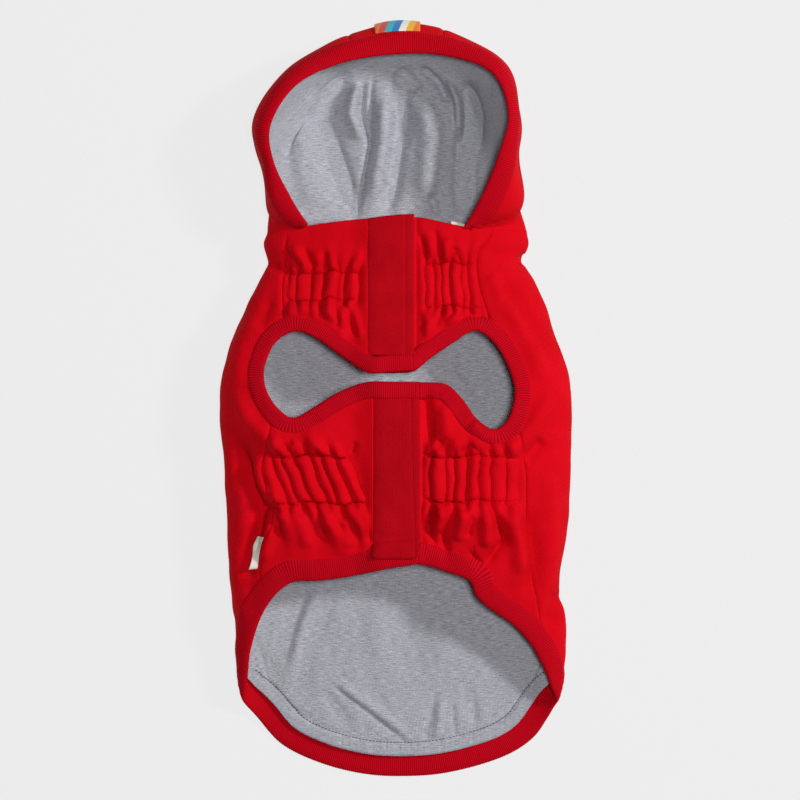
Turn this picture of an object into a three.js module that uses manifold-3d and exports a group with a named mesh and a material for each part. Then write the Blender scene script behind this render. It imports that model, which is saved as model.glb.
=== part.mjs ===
// A hooded fleece coat for a small dog, lying on its back with the belly side up.
// It is sewn from a red fleece shell, a grey jersey lining and ribbed knit bindings. The belly is two
// elasticated bands, each closed by a flap. Lengths are millimetres, +Y runs towards the hood, +Z is up.
import * as THREE from 'three';
import Module from 'manifold-3d';
import { mergeVertices } from 'three/addons/utils/BufferGeometryUtils.js';

const wasm = await Module();
wasm.setup();

// Sizes of the whole coat.
const bodyLength = 342;
const bodyHalfWidth = 110;
const bodyHeight = 50;
const hoodLength = 130;
const hoodHeight = 54;

// Cloth, binding and trim sizes.
const shellWall = 1.6;
const liningWall = 1;
const liningClearance = 0.5;
const liningInset = 2;
const ribWall = 2.6;
const ribProud = 0.6;
const roomReach = 3.2;
const roomSplit = 0.05;
const bandWall = 2.2;
const seamGap = 0.7;
const legRibWidth = 10.5;
const hemRibWidth = 14;
const hoodRibWidth = 14;
const flapWidth = 30;
const flapWall = 1.8;
const fastenerWall = 1.2;
const flapClearance = 0.6;
const flapStep = 8;
const gatherDepth = 2.6;
const tabWidth = 27;
const tabLength = 17;
const tabWall = 0.8;
const sideLabelLength = 20;
const sideLabelReach = 9;
const neckLabelWidth = 9;
const neckLabelReach = 6;
const labelWall = 0.8;
const tabClearance = 0.35;
const sideLabelRise = 4;
const neckLabelPeek = 2;

// Where the two labels are: shares of bodyLength and bodyHalfWidth.
const sideLabelAt = 0.555;
const neckLabelX = 0.31;

// Cross-sections of the body, from the neck seam (0) to the hem (1). left and right are shares of
// bodyHalfWidth, top is the belly's height and side the height of the widest point, as shares of bodyHeight.
const bodySections = [
  { at: -0.06, left: 0.72, right: 0.73, top: 0.76, side: 0.34 },
  { at: 0.0, left: 0.735, right: 0.744, top: 0.76, side: 0.34 },
  { at: 0.02, left: 0.755, right: 0.752, top: 0.76, side: 0.34 },
  { at: 0.053, left: 0.735, right: 0.725, top: 0.74, side: 0.34 },
  { at: 0.088, left: 0.78, right: 0.785, top: 0.78, side: 0.36 },
  { at: 0.16, left: 0.885, right: 0.878, top: 0.88, side: 0.4 },
  { at: 0.27, left: 0.994, right: 0.984, top: 0.98, side: 0.44 },
  { at: 0.34, left: 1.0, right: 0.998, top: 1.0, side: 0.44 },
  { at: 0.45, left: 0.974, right: 0.99, top: 0.97, side: 0.44 },
  { at: 0.52, left: 0.962, right: 0.98, top: 0.94, side: 0.43 },
  { at: 0.58, left: 0.955, right: 0.95, top: 0.9, side: 0.42 },
  { at: 0.615, left: 0.946, right: 0.926, top: 0.87, side: 0.4 },
  { at: 0.655, left: 0.93, right: 0.934, top: 0.82, side: 0.38 },
  { at: 0.71, left: 0.917, right: 0.962, top: 0.72, side: 0.34 },
  { at: 0.77, left: 0.908, right: 0.968, top: 0.6, side: 0.28 },
  { at: 0.83, left: 0.892, right: 0.94, top: 0.49, side: 0.25 },
  { at: 0.88, left: 0.85, right: 0.9, top: 0.41, side: 0.21 },
  { at: 1.0, left: 0.74, right: 0.78, top: 0.2, side: 0.1 },
];

// How square the cross-sections are. Each is multiplied by the half width over the height of that side, so
// that a flat section gets a square corner and a tall one stays round.
const bellyCrown = 0.8;
const backFlatness = 1.2;

// Meridians of the hood, from the left end of its rim over the crown to the right end. rimX, rimY and
// rimZ place the rim as shares of bodyHalfWidth, hoodLength and hoodHeight. bulge and tuck are how far
// the cloth swells out past the rim and is tucked back under, as shares of hoodHeight. drop is how much
// of the meridian lies on the floor, neck the angle round the neck seam where it starts, and seam how far
// along the body that is, as a share of bodyLength.
const hoodMeridians = [
  { rimX: -0.503, rimY: 0.03, rimZ: 0.7, bulge: 0.05, tuck: 0, drop: 0, neck: -136, seam: -0.011 },
  { rimX: -0.59, rimY: 0.15, rimZ: 0.8, bulge: 0.31, tuck: 0, drop: 0.1, neck: -117, seam: 0 },
  { rimX: -0.69, rimY: 0.325, rimZ: 0.92, bulge: 0.16, tuck: 0.1, drop: 0.5, neck: -97, seam: 0 },
  { rimX: -0.705, rimY: 0.5, rimZ: 0.98, bulge: 0.21, tuck: 0.4, drop: 0.95, neck: -76, seam: 0 },
  { rimX: -0.56, rimY: 0.69, rimZ: 0.95, bulge: 0.22, tuck: 0.5, drop: 1, neck: -52, seam: 0 },
  { rimX: -0.3, rimY: 0.8, rimZ: 0.85, bulge: 0.29, tuck: 0.5, drop: 1, neck: -28, seam: 0 },
  { rimX: 0.02, rimY: 0.845, rimZ: 0.76, bulge: 0.38, tuck: 0.5, drop: 1, neck: 0, seam: 0 },
  { rimX: 0.3, rimY: 0.83, rimZ: 0.82, bulge: 0.29, tuck: 0.5, drop: 1, neck: 28, seam: 0 },
  { rimX: 0.54, rimY: 0.745, rimZ: 0.95, bulge: 0.19, tuck: 0.5, drop: 1, neck: 52, seam: 0 },
  { rimX: 0.63, rimY: 0.56, rimZ: 1.0, bulge: 0.13, tuck: 0.4, drop: 0.95, neck: 76, seam: 0 },
  { rimX: 0.585, rimY: 0.385, rimZ: 0.95, bulge: 0.25, tuck: 0.15, drop: 0.5, neck: 98, seam: 0 },
  { rimX: 0.5, rimY: 0.2, rimZ: 0.84, bulge: 0.46, tuck: 0, drop: 0.1, neck: 120, seam: 0 },
  { rimX: 0.39, rimY: 0.02, rimZ: 0.72, bulge: 0.05, tuck: 0, drop: 0, neck: 146, seam: -0.007 },
];
const hoodShoulder = 0.62;
const hoodShoulderHeight = 0.93;
const hoodOutHeight = 0.55;
const hoodCenterShare = 0.066;

// Edge of the left leg opening, from the neck flap's free side, round the hole, to the chest flap's free
// side. x is a share of bodyHalfWidth and at a share of bodyLength from the neck seam.
const leftLegEdge = [
  { x: 0.1, at: 0.2545 },
  { x: -0.036, at: 0.257 },
  { x: -0.161, at: 0.257 },
  { x: -0.292, at: 0.23 },
  { x: -0.446, at: 0.195 },
  { x: -0.571, at: 0.1815 },
  { x: -0.685, at: 0.2025 },
  { x: -0.744, at: 0.248 },
  { x: -0.73, at: 0.29 },
  { x: -0.662, at: 0.323 },
  { x: -0.577, at: 0.3385 },
  { x: -0.468, at: 0.321 },
  { x: -0.332, at: 0.294 },
  { x: -0.178, at: 0.2755 },
  { x: -0.024, at: 0.275 },
  { x: 0.131, at: 0.275 },
];
const rightLegEdge = [
  { x: -0.095, at: 0.257 },
  { x: 0.0, at: 0.257 },
  { x: 0.1, at: 0.2535 },
  { x: 0.192, at: 0.23 },
  { x: 0.317, at: 0.2025 },
  { x: 0.442, at: 0.1805 },
  { x: 0.545, at: 0.2005 },
  { x: 0.624, at: 0.241 },
  { x: 0.667, at: 0.292 },
  { x: 0.63, at: 0.3395 },
  { x: 0.55, at: 0.3595 },
  { x: 0.454, at: 0.3415 },
  { x: 0.374, at: 0.3065 },
  { x: 0.283, at: 0.279 },
  { x: 0.163, at: 0.275 },
  { x: 0.05, at: 0.2755 },
  { x: -0.06, at: 0.2755 },
];

// Edge of the hem, from the chest flap's free side round the left flank, the back and the right flank to
// where it passes under the flap. back is true where the edge lies on the floor side.
const hemEdge = [
  { x: 0.131, at: 0.6, back: false },
  { x: -0.06, at: 0.61, back: false },
  { x: -0.25, at: 0.625, back: false },
  { x: -0.43, at: 0.633, back: false },
  { x: -0.59, at: 0.637, back: false },
  { x: -0.7, at: 0.666, back: false },
  { x: -0.78, at: 0.71, back: false },
  { x: -0.83, at: 0.765, back: false },
  { x: -0.855, at: 0.83, back: false },
  { x: -0.866, at: 0.862, back: true },
  { x: -0.8, at: 0.89, back: true },
  { x: -0.66, at: 0.94, back: true },
  { x: -0.44, at: 0.975, back: true },
  { x: -0.2, at: 0.995, back: true },
  { x: 0.03, at: 1.0, back: true },
  { x: 0.3, at: 0.993, back: true },
  { x: 0.62, at: 0.963, back: true },
  { x: 0.79, at: 0.927, back: true },
  { x: 0.87, at: 0.89, back: true },
  { x: 0.91, at: 0.866, back: true },
  { x: 0.895, at: 0.84, back: false },
  { x: 0.83, at: 0.79, back: false },
  { x: 0.775, at: 0.757, back: false },
  { x: 0.66, at: 0.715, back: false },
  { x: 0.52, at: 0.683, back: false },
  { x: 0.45, at: 0.66, back: false },
  { x: 0.41, at: 0.633, back: false },
  { x: 0.29, at: 0.618, back: false },
  { x: 0.14, at: 0.604, back: false },
  { x: 0.03, at: 0.604, back: false },
  { x: -0.06, at: 0.607, back: false },
];

// Seams between the back panel and the belly bands. left and right are shares of bodyHalfWidth.
const sideSeams = [
  { at: -0.05, left: 0.62, right: 0.545 },
  { at: 0.0, left: 0.62, right: 0.54 },
  { at: 0.046, left: 0.635, right: 0.46 },
  { at: 0.106, left: 0.65, right: 0.475 },
  { at: 0.17, left: 0.64, right: 0.54 },
  { at: 0.26, left: 0.68, right: 0.62 },
  { at: 0.37, left: 0.715, right: 0.69 },
  { at: 0.43, left: 0.76, right: 0.73 },
  { at: 0.47, left: 0.73, right: 0.735 },
  { at: 0.53, left: 0.7, right: 0.74 },
  { at: 0.58, left: 0.76, right: 0.76 },
  { at: 0.72, left: 0.78, right: 0.82 },
];

// Free top edge of the neck band, as x and at shares.
const neckEdge = [
  { x: -0.8, at: 0 },
  { x: -0.66, at: 0 },
  { x: -0.6, at: -0.003 },
  { x: -0.55, at: -0.007 },
  { x: -0.5, at: -0.011 },
  { x: -0.23, at: -0.021 },
  { x: 0.1, at: -0.026 },
  { x: 0.33, at: -0.012 },
  { x: 0.4, at: -0.0075 },
  { x: 0.47, at: -0.004 },
  { x: 0.55, at: -0.001 },
  { x: 0.62, at: 0 },
  { x: 0.8, at: 0 },
];

// The two flaps. left is the stitched edge, under how far the other half band reaches below the flap, both
// as shares of bodyHalfWidth; top and bottom are shares of bodyLength.
const neckFlap = { left: -0.172, under: -0.09, top: -0.022, bottom: 0.2545 };
const chestFlap = { left: -0.14, under: -0.055, top: 0.275, bottom: 0.603 };

// The four half bands. folds is the number of gathers, top and bottom the stitched lines of the elastic as
// shares of bodyLength, lean how far the gathers slant and depth how deep they are against gatherDepth.
const halfBands = {
  neck_band_left: { hand: -1, folds: 7, top: 0.073, bottom: 0.122, lean: 0.12, depth: 0.85 },
  neck_band_right: { hand: 1, folds: 6, top: 0.057, bottom: 0.135, lean: -0.12, depth: 0.8 },
  chest_band_left: { hand: -1, folds: 7, top: 0.41, bottom: 0.49, lean: -0.55, depth: 1 },
  chest_band_right: { hand: 1, folds: 7, top: 0.41, bottom: 0.485, lean: 0.1, depth: 0.95 },
};

// How deep the gathers are down a half band, from its top edge to its bottom edge.
const gatherRows = [0, 1, 0.55, 0.9, 0.55, 1, 0];
const gatherFlare = 0.045;

// Broad folds and dents of the cloth. x0, at0, x1 and at1 are the ends as shares, width is a share of
// bodyHalfWidth and depth a share of bodyHeight: above zero is a ridge and below zero a valley.
const bodyFolds = [
  { x0: -0.91, at0: 0.38, x1: -0.84, at1: 0.47, width: 0.09, depth: -0.09 },
  { x0: -0.84, at0: 0.47, x1: -0.85, at1: 0.6, width: 0.08, depth: -0.09 },
  { x0: -0.6, at0: 0.38, x1: -0.56, at1: 0.46, width: 0.1, depth: 0.05 },
  { x0: 0.7, at0: 0.2, x1: 0.86, at1: 0.34, width: 0.09, depth: 0.05 },
  { x0: 0.86, at0: 0.45, x1: 0.9, at1: 0.62, width: 0.09, depth: -0.06 },
  { x0: 0.58, at0: 0.53, x1: 0.72, at1: 0.64, width: 0.08, depth: 0.06 },
  { x0: -0.45, at0: 0.55, x1: -0.3, at1: 0.58, width: 0.09, depth: 0.04 },
];

// Folds of the hood's back, seen through its opening. u runs round the rim and v from neck to rim, width
// is a share of the way round and depth a share of hoodHeight.
const hoodFolds = [
  { u0: 0.38, v0: 0.3, u1: 0.35, v1: 0.65, width: 0.035, depth: 0.07 },
  { u0: 0.5, v0: 0.25, u1: 0.52, v1: 0.65, width: 0.035, depth: 0.05 },
  { u0: 0.62, v0: 0.3, u1: 0.66, v1: 0.65, width: 0.04, depth: 0.07 },
];

const degree = Math.PI / 180;
const clamp = THREE.MathUtils.clamp;
const mix = THREE.MathUtils.lerp;
const smooth = (x) => THREE.MathUtils.smoothstep(x, 0, 1);

// A smooth column of a table at a place between its rows.
function column(rows, key, at, along = 'at') {
  const last = rows.length - 1;
  const place = clamp(at, rows[0][along], rows[last][along]);
  let i = 0;
  while (i < last - 1 && rows[i + 1][along] < place) i += 1;
  const [before, start, end, after] = [i - 1, i, i + 1, i + 2].map((k) => rows[clamp(k, 0, last)]);
  const step = end[along] - start[along];
  const slope = (a, b) => (b[key] - a[key]) / Math.max(b[along] - a[along], 1e-9);
  const s = (place - start[along]) / step;
  const leave = slope(before, end) * step;
  const arrive = slope(start, after) * step;
  const rise = end[key] - start[key];
  return start[key] + s * (leave + s * (3 * rise - 2 * leave - arrive + s * (leave + arrive - 2 * rise)));
}

// Half widths, height and height of the widest point of the body at a share of its length.
function bodySection(at) {
  return {
    left: column(bodySections, 'left', at) * bodyHalfWidth,
    right: column(bodySections, 'right', at) * bodyHalfWidth,
    top: column(bodySections, 'top', at) * bodyHeight,
    side: column(bodySections, 'side', at) * bodyHeight,
  };
}

// A point of the body. angle is 0 at the middle of the back, 90 and -90 at the flanks, 180 at the belly.
function bodyPoint(angle, at) {
  const turn = THREE.MathUtils.euclideanModulo(angle + 180, 360) - 180;
  const section = bodySection(at);
  const across = Math.sin(turn * degree);
  const half = turn < 0 ? section.left : section.right;
  const belly = Math.abs(turn) > 90;
  const height = belly ? section.top - section.side : section.side;
  const power = ((belly ? bellyCrown : backFlatness) * half) / height;
  const rise = height * Math.sqrt(Math.max(0, 1 - Math.abs(across) ** power));
  return new THREE.Vector3(across * half, -at * bodyLength, section.side + (belly ? rise : -rise));
}

// The angle of the body at a share x of its half width, on the belly side or on the back.
function bodyAngle(x, at, back = false) {
  const section = bodySection(at);
  const half = x < 0 ? section.left : section.right;
  const angle = Math.asin(clamp(Math.abs(x) * bodyHalfWidth / half, 0, 1)) / degree;
  return Math.sign(x || 1) * (back ? angle : 180 - angle);
}

const hoodRows = hoodMeridians.map((row, k) => ({ ...row, at: k / (hoodMeridians.length - 1) }));

// A point of the hood's rim seen from above.
function rimPlan(u) {
  return new THREE.Vector2(
    column(hoodRows, 'rimX', u) * bodyHalfWidth, column(hoodRows, 'rimY', u) * hoodLength,
  );
}

// A point of the hood. u runs round the rim from its left end to its right, v from the neck to the rim.
function hoodPoint(u, v) {
  const rim = rimPlan(u);
  const along = rimPlan(Math.min(1, u + 0.01)).sub(rimPlan(Math.max(0, u - 0.01))).normalize();
  const [rimZ, bulge, tuck] = ['rimZ', 'bulge', 'tuck'].map((key) => column(hoodRows, key, u) * hoodHeight);
  const drop = clamp(column(hoodRows, 'drop', u), 0, 1);
  const beyond = (reach, z) =>
    new THREE.Vector3(rim.x - along.y * reach, rim.y + along.x * reach, z);
  const neck = bodyPoint(column(hoodRows, 'neck', u), column(hoodRows, 'seam', u));
  const out = beyond(bulge, mix(neck.z, rimZ * hoodOutHeight, drop));
  const knots = [
    neck,
    neck.clone().lerp(out, 0.4).lerp(beyond(bulge - tuck, 0), drop),
    out,
    beyond(bulge * hoodShoulder, rimZ * hoodShoulderHeight),
    beyond(0, rimZ),
  ];
  const marks = [0];
  for (let k = 1; k < knots.length; k += 1) {
    marks.push(marks[k - 1] + Math.max(knots[k].distanceTo(knots[k - 1]), 0.5) ** 0.75);
  }
  const rows = knots.map((knot, k) => ({ at: marks[k] / marks[4], x: knot.x, y: knot.y, z: knot.z }));
  const [x, y, z] = ['x', 'y', 'z'].map((key) => column(rows, key, v));
  return new THREE.Vector3(x, y, Math.max(z, 0));
}

// The two surfaces. hand turns their normals outward and step is how finely they are felt.
const body = { point: bodyPoint, hand: 1, step: [0.5, 0.002] };
const hood = { point: hoodPoint, hand: -1, step: [0.004, 0.01] };

// Position, outward normal and the two directions of a surface.
function frameAt(surface, a, b) {
  const [da, db] = surface.step;
  const top = surface === hood ? Math.min(b, 1 - db) : b;
  const alongA = surface.point(a + da, b).sub(surface.point(a - da, b)).divideScalar(2 * da);
  const alongB = surface.point(a, top + db).sub(surface.point(a, top - db)).divideScalar(2 * db);
  const normal = alongA.clone().cross(alongB).multiplyScalar(surface.hand).normalize();
  return { point: surface.point(a, b), normal, alongA, alongB };
}

// Walks on the body from a place, along a heading, for a distance. Returns the body's coordinates.
function walk(place, heading, distance) {
  const steps = Math.max(1, Math.ceil(Math.abs(distance) / 3));
  const stride = distance / steps;
  let [a, b] = place;
  const direction = heading.clone();
  for (let k = 0; k < steps; k += 1) {
    const { normal, alongA, alongB } = frameAt(body, a, b);
    direction.projectOnPlane(normal).normalize();
    const [aa, ab, bb] = [alongA.dot(alongA), alongA.dot(alongB), alongB.dot(alongB)];
    const [pa, pb] = [alongA.dot(direction) * stride, alongB.dot(direction) * stride];
    const determinant = aa * bb - ab * ab;
    a += (pa * bb - pb * ab) / determinant;
    b += (pb * aa - pa * ab) / determinant;
  }
  return [a, b];
}

// Height that a fold adds at a place, tapered to nothing at the fold's two ends.
function ridge(px, py, x0, y0, x1, y1, width, height) {
  const [dx, dy] = [x1 - x0, y1 - y0];
  const along = clamp(((px - x0) * dx + (py - y0) * dy) / (dx * dx + dy * dy), -0.3, 1.3);
  const away = Math.hypot(px - x0 - along * dx, py - y0 - along * dy) / width;
  const taper = smooth((along + 0.3) / 0.6) * smooth((1.3 - along) / 0.6);
  return height * Math.exp(-away * away) * taper;
}

// How far the body's cloth stands proud of its plain surface in its broad folds.
function bodyRelief(angle, at) {
  const turn = Math.abs(THREE.MathUtils.euclideanModulo(angle + 180, 360) - 180);
  if (turn < 80) return 0;
  const { x, y } = bodyPoint(angle, at);
  let relief = 0;
  for (const fold of bodyFolds) {
    relief += ridge(
      x, y, fold.x0 * bodyHalfWidth, -fold.at0 * bodyLength, fold.x1 * bodyHalfWidth,
      -fold.at1 * bodyLength, fold.width * bodyHalfWidth, fold.depth * bodyHeight,
    );
  }
  return relief * smooth((turn - 80) / 10);
}

// How far the hood's cloth stands up from the floor, in the folds of its back.
function hoodRelief(u, v) {
  const across = 5;
  let relief = 0;
  for (const fold of hoodFolds) {
    relief += ridge(
      u * across, v, fold.u0 * across, fold.v0, fold.u1 * across, fold.v1,
      fold.width * across, fold.depth * hoodHeight,
    );
  }
  return -relief;
}

// A closed sheet of cloth over a grid. place(i, j) gives coordinates of the surface for shares i and j of
// the grid, low and high are how far its two faces lie from the surface, and relief adds to both.
function sheet(surface, across, along, place, low, high, relief = () => 0) {
  const faces = [[], []];
  for (let j = 0; j <= along; j += 1) {
    for (let i = 0; i <= across; i += 1) {
      const [a, b] = place(i / across, j / along);
      const { point, normal } = frameAt(surface, a, b);
      const raised = relief(a, b, i / across, j / along);
      [low, high].forEach((offset, side) => {
        const reach = typeof offset === 'function' ? offset(point, i / across, j / along) : offset;
        faces[side].push(point.clone().addScaledVector(normal, reach + raised));
      });
    }
  }
  const count = faces[0].length;
  const row = across + 1;
  const index = [];
  const quad = (p, q, r, s) => index.push(p, q, r, p, r, s);
  const wall = (p, q, turned = false) => {
    if (turned) quad(q, count + q, count + p, p);
    else quad(p, q, count + q, count + p);
  };
  for (let j = 0; j < along; j += 1) {
    for (let i = 0; i < across; i += 1) {
      const k = j * row + i;
      quad(k, k + row, k + row + 1, k + 1);
      quad(count + k, count + k + 1, count + k + row + 1, count + k + row);
    }
    wall(j * row + row, j * row);
    wall(j * row + across, j * row + across + row, true);
  }
  for (let i = 0; i < across; i += 1) {
    wall(i, i + 1);
    wall(along * row + i + 1, along * row + i, true);
  }
  const geometry = new THREE.BufferGeometry();
  const positions = [...faces[0], ...faces[1]].flatMap((p) => [p.x, p.y, p.z]);
  geometry.setAttribute('position', new THREE.Float32BufferAttribute(positions, 3));
  geometry.setIndex(index);
  return geometry;
}

// A geometry as a solid that can be cut, turned the right way round.
function toSolid(geometry) {
  const plain = geometry.clone();
  plain.deleteAttribute('normal');
  plain.deleteAttribute('uv');
  const merged = mergeVertices(plain, 1e-4);
  const triVerts = new Uint32Array(merged.index.array);
  const make = () => new wasm.Manifold(new wasm.Mesh({
    numProp: 3, vertProperties: new Float32Array(merged.attributes.position.array), triVerts,
  }));
  const made = make();
  if (made.volume() > 0) return made;
  for (let k = 0; k < triVerts.length; k += 3) {
    [triVerts[k + 1], triVerts[k + 2]] = [triVerts[k + 2], triVerts[k + 1]];
  }
  return make();
}

function toGeometry(solid) {
  const mesh = solid.getMesh();
  const geometry = new THREE.BufferGeometry();
  geometry.setAttribute('position', new THREE.BufferAttribute(new Float32Array(mesh.vertProperties), 3));
  geometry.setIndex(new THREE.BufferAttribute(new Uint32Array(mesh.triVerts), 1));
  geometry.computeVertexNormals();
  return geometry;
}

// A piece without the room of its neighbours. Scraps on the far side of a neighbour are left out.
function trimmed(geometry, cutters = []) {
  let solid = toSolid(geometry);
  for (const cutter of cutters) solid = solid.subtract(cutter);
  const parts = solid.decompose().sort((p, q) => q.volume() - p.volume());
  return toGeometry(parts[0]);
}

// A row as far past the last one as share of the step before it.
function rowPast(before, last, share) {
  return { ...last, x: mix(before.x, last.x, 1 + share), at: mix(before.at, last.at, 1 + share) };
}

// The curve of a table of edge rows on the body, with angles that run on past 180. It runs on a little
// past both ends of the table, which lie at the shares start and end.
function bodyEdge(table) {
  const rows = [rowPast(table[1], table[0], 0.4), ...table, rowPast(table.at(-2), table.at(-1), 0.4)];
  const angles = [];
  for (const row of rows) {
    const angle = bodyAngle(row.x, row.at, row.back);
    const turns = angles.length ? Math.round((angles[angles.length - 1] - angle) / 360) : 0;
    angles.push(angle + turns * 360);
  }
  const extra = 360 * Math.round(angles[Math.floor(angles.length / 2)] / 360);
  const last = rows.length - 1;
  const placed = rows.map((row, k) => ({ place: k / last, angle: angles[k] - extra, at: row.at }));
  const at = (s) => [column(placed, 'angle', s, 'place'), column(placed, 'at', s, 'place')];
  return { at, start: 1 / last, end: 1 - 1 / last };
}

// Place on a strip of the body beside an edge. side is 1 or -1 for which side, share how far across it.
function bodyStrip(edge, side, width) {
  return (s, share) => {
    const place = edge.at(s);
    if (share === 0) return place;
    const [before, after] = [edge.at(Math.max(0, s - 0.003)), edge.at(Math.min(1, s + 0.003))];
    const tangent = bodyPoint(...after).sub(bodyPoint(...before)).normalize();
    const heading = frameAt(body, ...place).normal.cross(tangent).multiplyScalar(side);
    return walk(place, heading, width * share);
  };
}

// Place on a strip of the hood down from its rim. Near the neck the strip takes the whole meridian.
function hoodStrip(width) {
  return (u, share) => {
    const steps = 60;
    let [v, run] = [1, 0];
    while (v > 0 && run < width) {
      run += hoodPoint(u, v).distanceTo(hoodPoint(u, v - 1 / steps));
      v -= 1 / steps;
    }
    const over = run > width ? (run - width) / hoodPoint(u, v).distanceTo(hoodPoint(u, v + 1 / steps)) : 0;
    return [u, 1 - share * (1 - Math.max(0, v + over / steps))];
  };
}

const flapLift = flapWall + fastenerWall + 2 * flapClearance;

// How far the cloth that closes over the other half band is lifted, for a flap with its left edge there.
const lifted = (left) => (point) => flapLift * smooth((point.x - left * bodyHalfWidth) / flapStep);

// Knit bindings stand a little proud of the fleece, but not where they lie on the floor.
const proud = (point) => ribProud * smooth((point.z / bodyHeight) * 3);

// Evenly spread numbers, with both ends.
const spread = (from, to, count) => Array.from({ length: count + 1 }, (_, k) => mix(from, to, k / count));

// Moves evenly spread shares closer together at the two ends.
const denserEnds = (s) => s - Math.sin(2 * Math.PI * s) / 13;

// A sheet along a strip, with its columns at a list of stations of the strip.
function stripSheet(surface, stations, strip, low, high) {
  const station = (i) => stations[Math.round(i * (stations.length - 1))];
  const offset = (reach) => (point, i) => reach(point, station(i));
  const relief = surface === body ? bodyRelief : hoodRelief;
  const place = (i, j) => strip(station(i), j);
  const across = surface === hood ? 2 : 1;
  return toSolid(sheet(surface, stations.length - 1, across, place, offset(low), offset(high), relief));
}

// A binding as its own solid, and the room that its neighbours leave for it in two halves of its length.
// strip(width) places a strip of that width. The binding runs from the share start to the share end.
function binding(surface, strip, width, segments, { start = 0, end = 1 }, lift = () => 0) {
  const stations = spread(start, end, segments).map((s) => (surface === hood ? denserEnds(s) : s));
  const own = stripSheet(
    surface, stations, strip(width),
    (point, s) => lift(point, s) + ribProud - ribWall, (point, s) => lift(point, s) + proud(point),
  );
  const layer = (places, gap, low, high) => stripSheet(
    surface, places, strip(width + gap),
    (point, s) => low(lift(point, s)), (point, s) => high(lift(point, s)),
  );
  const middle = segments / 2;
  const halves = [
    [0, ...stations.slice(start > 0 ? 0 : 1, middle + 1)],
    [...stations.slice(middle, end < 1 ? segments + 1 : segments), 1],
  ];
  const rooms = halves.map((places) => [
    layer(places, seamGap, () => -roomReach, (raised) => raised + 2 * roomSplit),
    layer(places, seamGap, (raised) => raised + roomSplit, (raised) => raised + roomReach),
  ]);
  const sparse = halves.map((places) => places.filter((_, k) => k % 2 === 0 || k === places.length - 1));
  const liningRooms = sparse.map(
    (places) => layer(places, liningInset, () => -2 * roomReach, () => roomSplit),
  );
  return { own: toGeometry(own), rooms, liningRooms };
}

const legEdgeLeft = bodyEdge(leftLegEdge);
const legEdgeRight = bodyEdge(rightLegEdge);
const hemCurve = bodyEdge(hemEdge);
const halfFlap = flapWidth / 2 / bodyHalfWidth;
const alongEdge = (edge, side) => (width) => bodyStrip(edge, side, width);

const legRibLeft = binding(
  body, alongEdge(legEdgeLeft, -1), legRibWidth, 32, legEdgeLeft,
  (point, s) => lifted(s < 0.5 ? neckFlap.left : chestFlap.left)(point),
);
const legRibRight = binding(body, alongEdge(legEdgeRight, 1), legRibWidth, 32, legEdgeRight);
const hemRib = binding(
  body, alongEdge(hemCurve, -1), hemRibWidth, 54, hemCurve,
  (point, s) => (s < 0.3 ? lifted(chestFlap.left)(point) : 0),
);
const hoodRib = binding(hood, hoodStrip, hoodRibWidth, 40, {});
const bodyRibs = [legRibLeft, legRibRight, hemRib];

const halfGap = seamGap / 2 / bodyHalfWidth;
const seamOverrun = 3 / bodyHalfWidth;
const insideLeg = 3 / bodyLength;
const halfLegRib = legRibWidth / 2 / bodyLength;
const halfHemRib = hemRibWidth / 2 / bodyLength;
const seamX = (hand, at) => hand * column(sideSeams, hand < 0 ? 'left' : 'right', at);

// The room between the back panel and the belly bands, along each side seam.
const seamRooms = [-1, 1].map((hand) => toSolid(sheet(
  body, 1, 18, (i, j) => {
    const at = mix(-0.06, 0.85, j);
    return [bodyAngle(seamX(hand, at) + halfGap * (2 * i - 1), at), at];
  }, -2 * ribWall, 2 * ribWall,
)));

// Where an edge passes at x, from the rows of its table between two numbers.
function edgeAt(rows, from, to, x) {
  const picked = rows.slice(from, to).sort((p, q) => p.x - q.x);
  return column(picked, 'at', x, 'x');
}
const neckAt = (x) => column(neckEdge, 'at', x, 'x');
const bandTop = (x) => neckAt(x) + (2 * seamGap) / bodyLength;

// The room that the hood leaves for the body, in two halves of the neck seam.
const neckRooms = [-180, 180].map((end) => toSolid(sheet(
  body, 18, 1, (i, j) => {
    const angle = mix(0, end, i);
    const start = Math.abs(angle) < 90 ? 0 : neckAt(bodyPoint(angle, 0).x / bodyHalfWidth);
    return [angle, mix(start, 0.04, j)];
  }, -2 * ribWall, 2 * ribWall,
)));

// One half of a belly band, from a side seam to the flap. The elastic draws it into gathers.
function halfBand(name, flap, topAt, bottomAt, cutters) {
  const row = halfBands[name];
  const columns = 2 * row.folds + 2;
  const ends = row.hand < 0
    ? (at) => [seamX(-1, at) - seamOverrun, flap.left - halfGap]
    : (at) => [flap.under, seamX(1, at) + seamOverrun];
  const lines = (x) => [
    topAt(x), row.top - gatherFlare, row.top, (row.top + row.bottom) / 2, row.bottom,
    row.bottom + gatherFlare, bottomAt(x),
  ];
  const last = gatherRows.length - 1;
  const place = (i, j) => {
    let at = row.top;
    for (let k = 0; k < 3; k += 1) at = lines(mix(...ends(at), i))[Math.round(j * last)];
    const lean = row.lean * (at - row.top) * Math.min(1, 4 * i, 4 * (1 - i));
    return [bodyAngle(mix(...ends(at), i) + lean, at), at];
  };
  const relief = (angle, at, i, j) => {
    const fold = Math.round(i * columns) % 2 ? 0.5 : -0.5;
    const { x } = bodyPoint(angle, at);
    const inner = Math.min(1, i * columns, (1 - i) * columns);
    const fromFlap = smooth((x / bodyHalfWidth - flap.left) / halfFlap / 2 - 1);
    const clear = row.hand < 0 ? inner : inner * fromFlap;
    const depth = gatherDepth * row.depth * gatherRows[Math.round(j * last)];
    return bodyRelief(angle, at) + clear * depth * fold;
  };
  return trimmed(sheet(body, columns, last, place, -bandWall, 0, relief), cutters);
}

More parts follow.
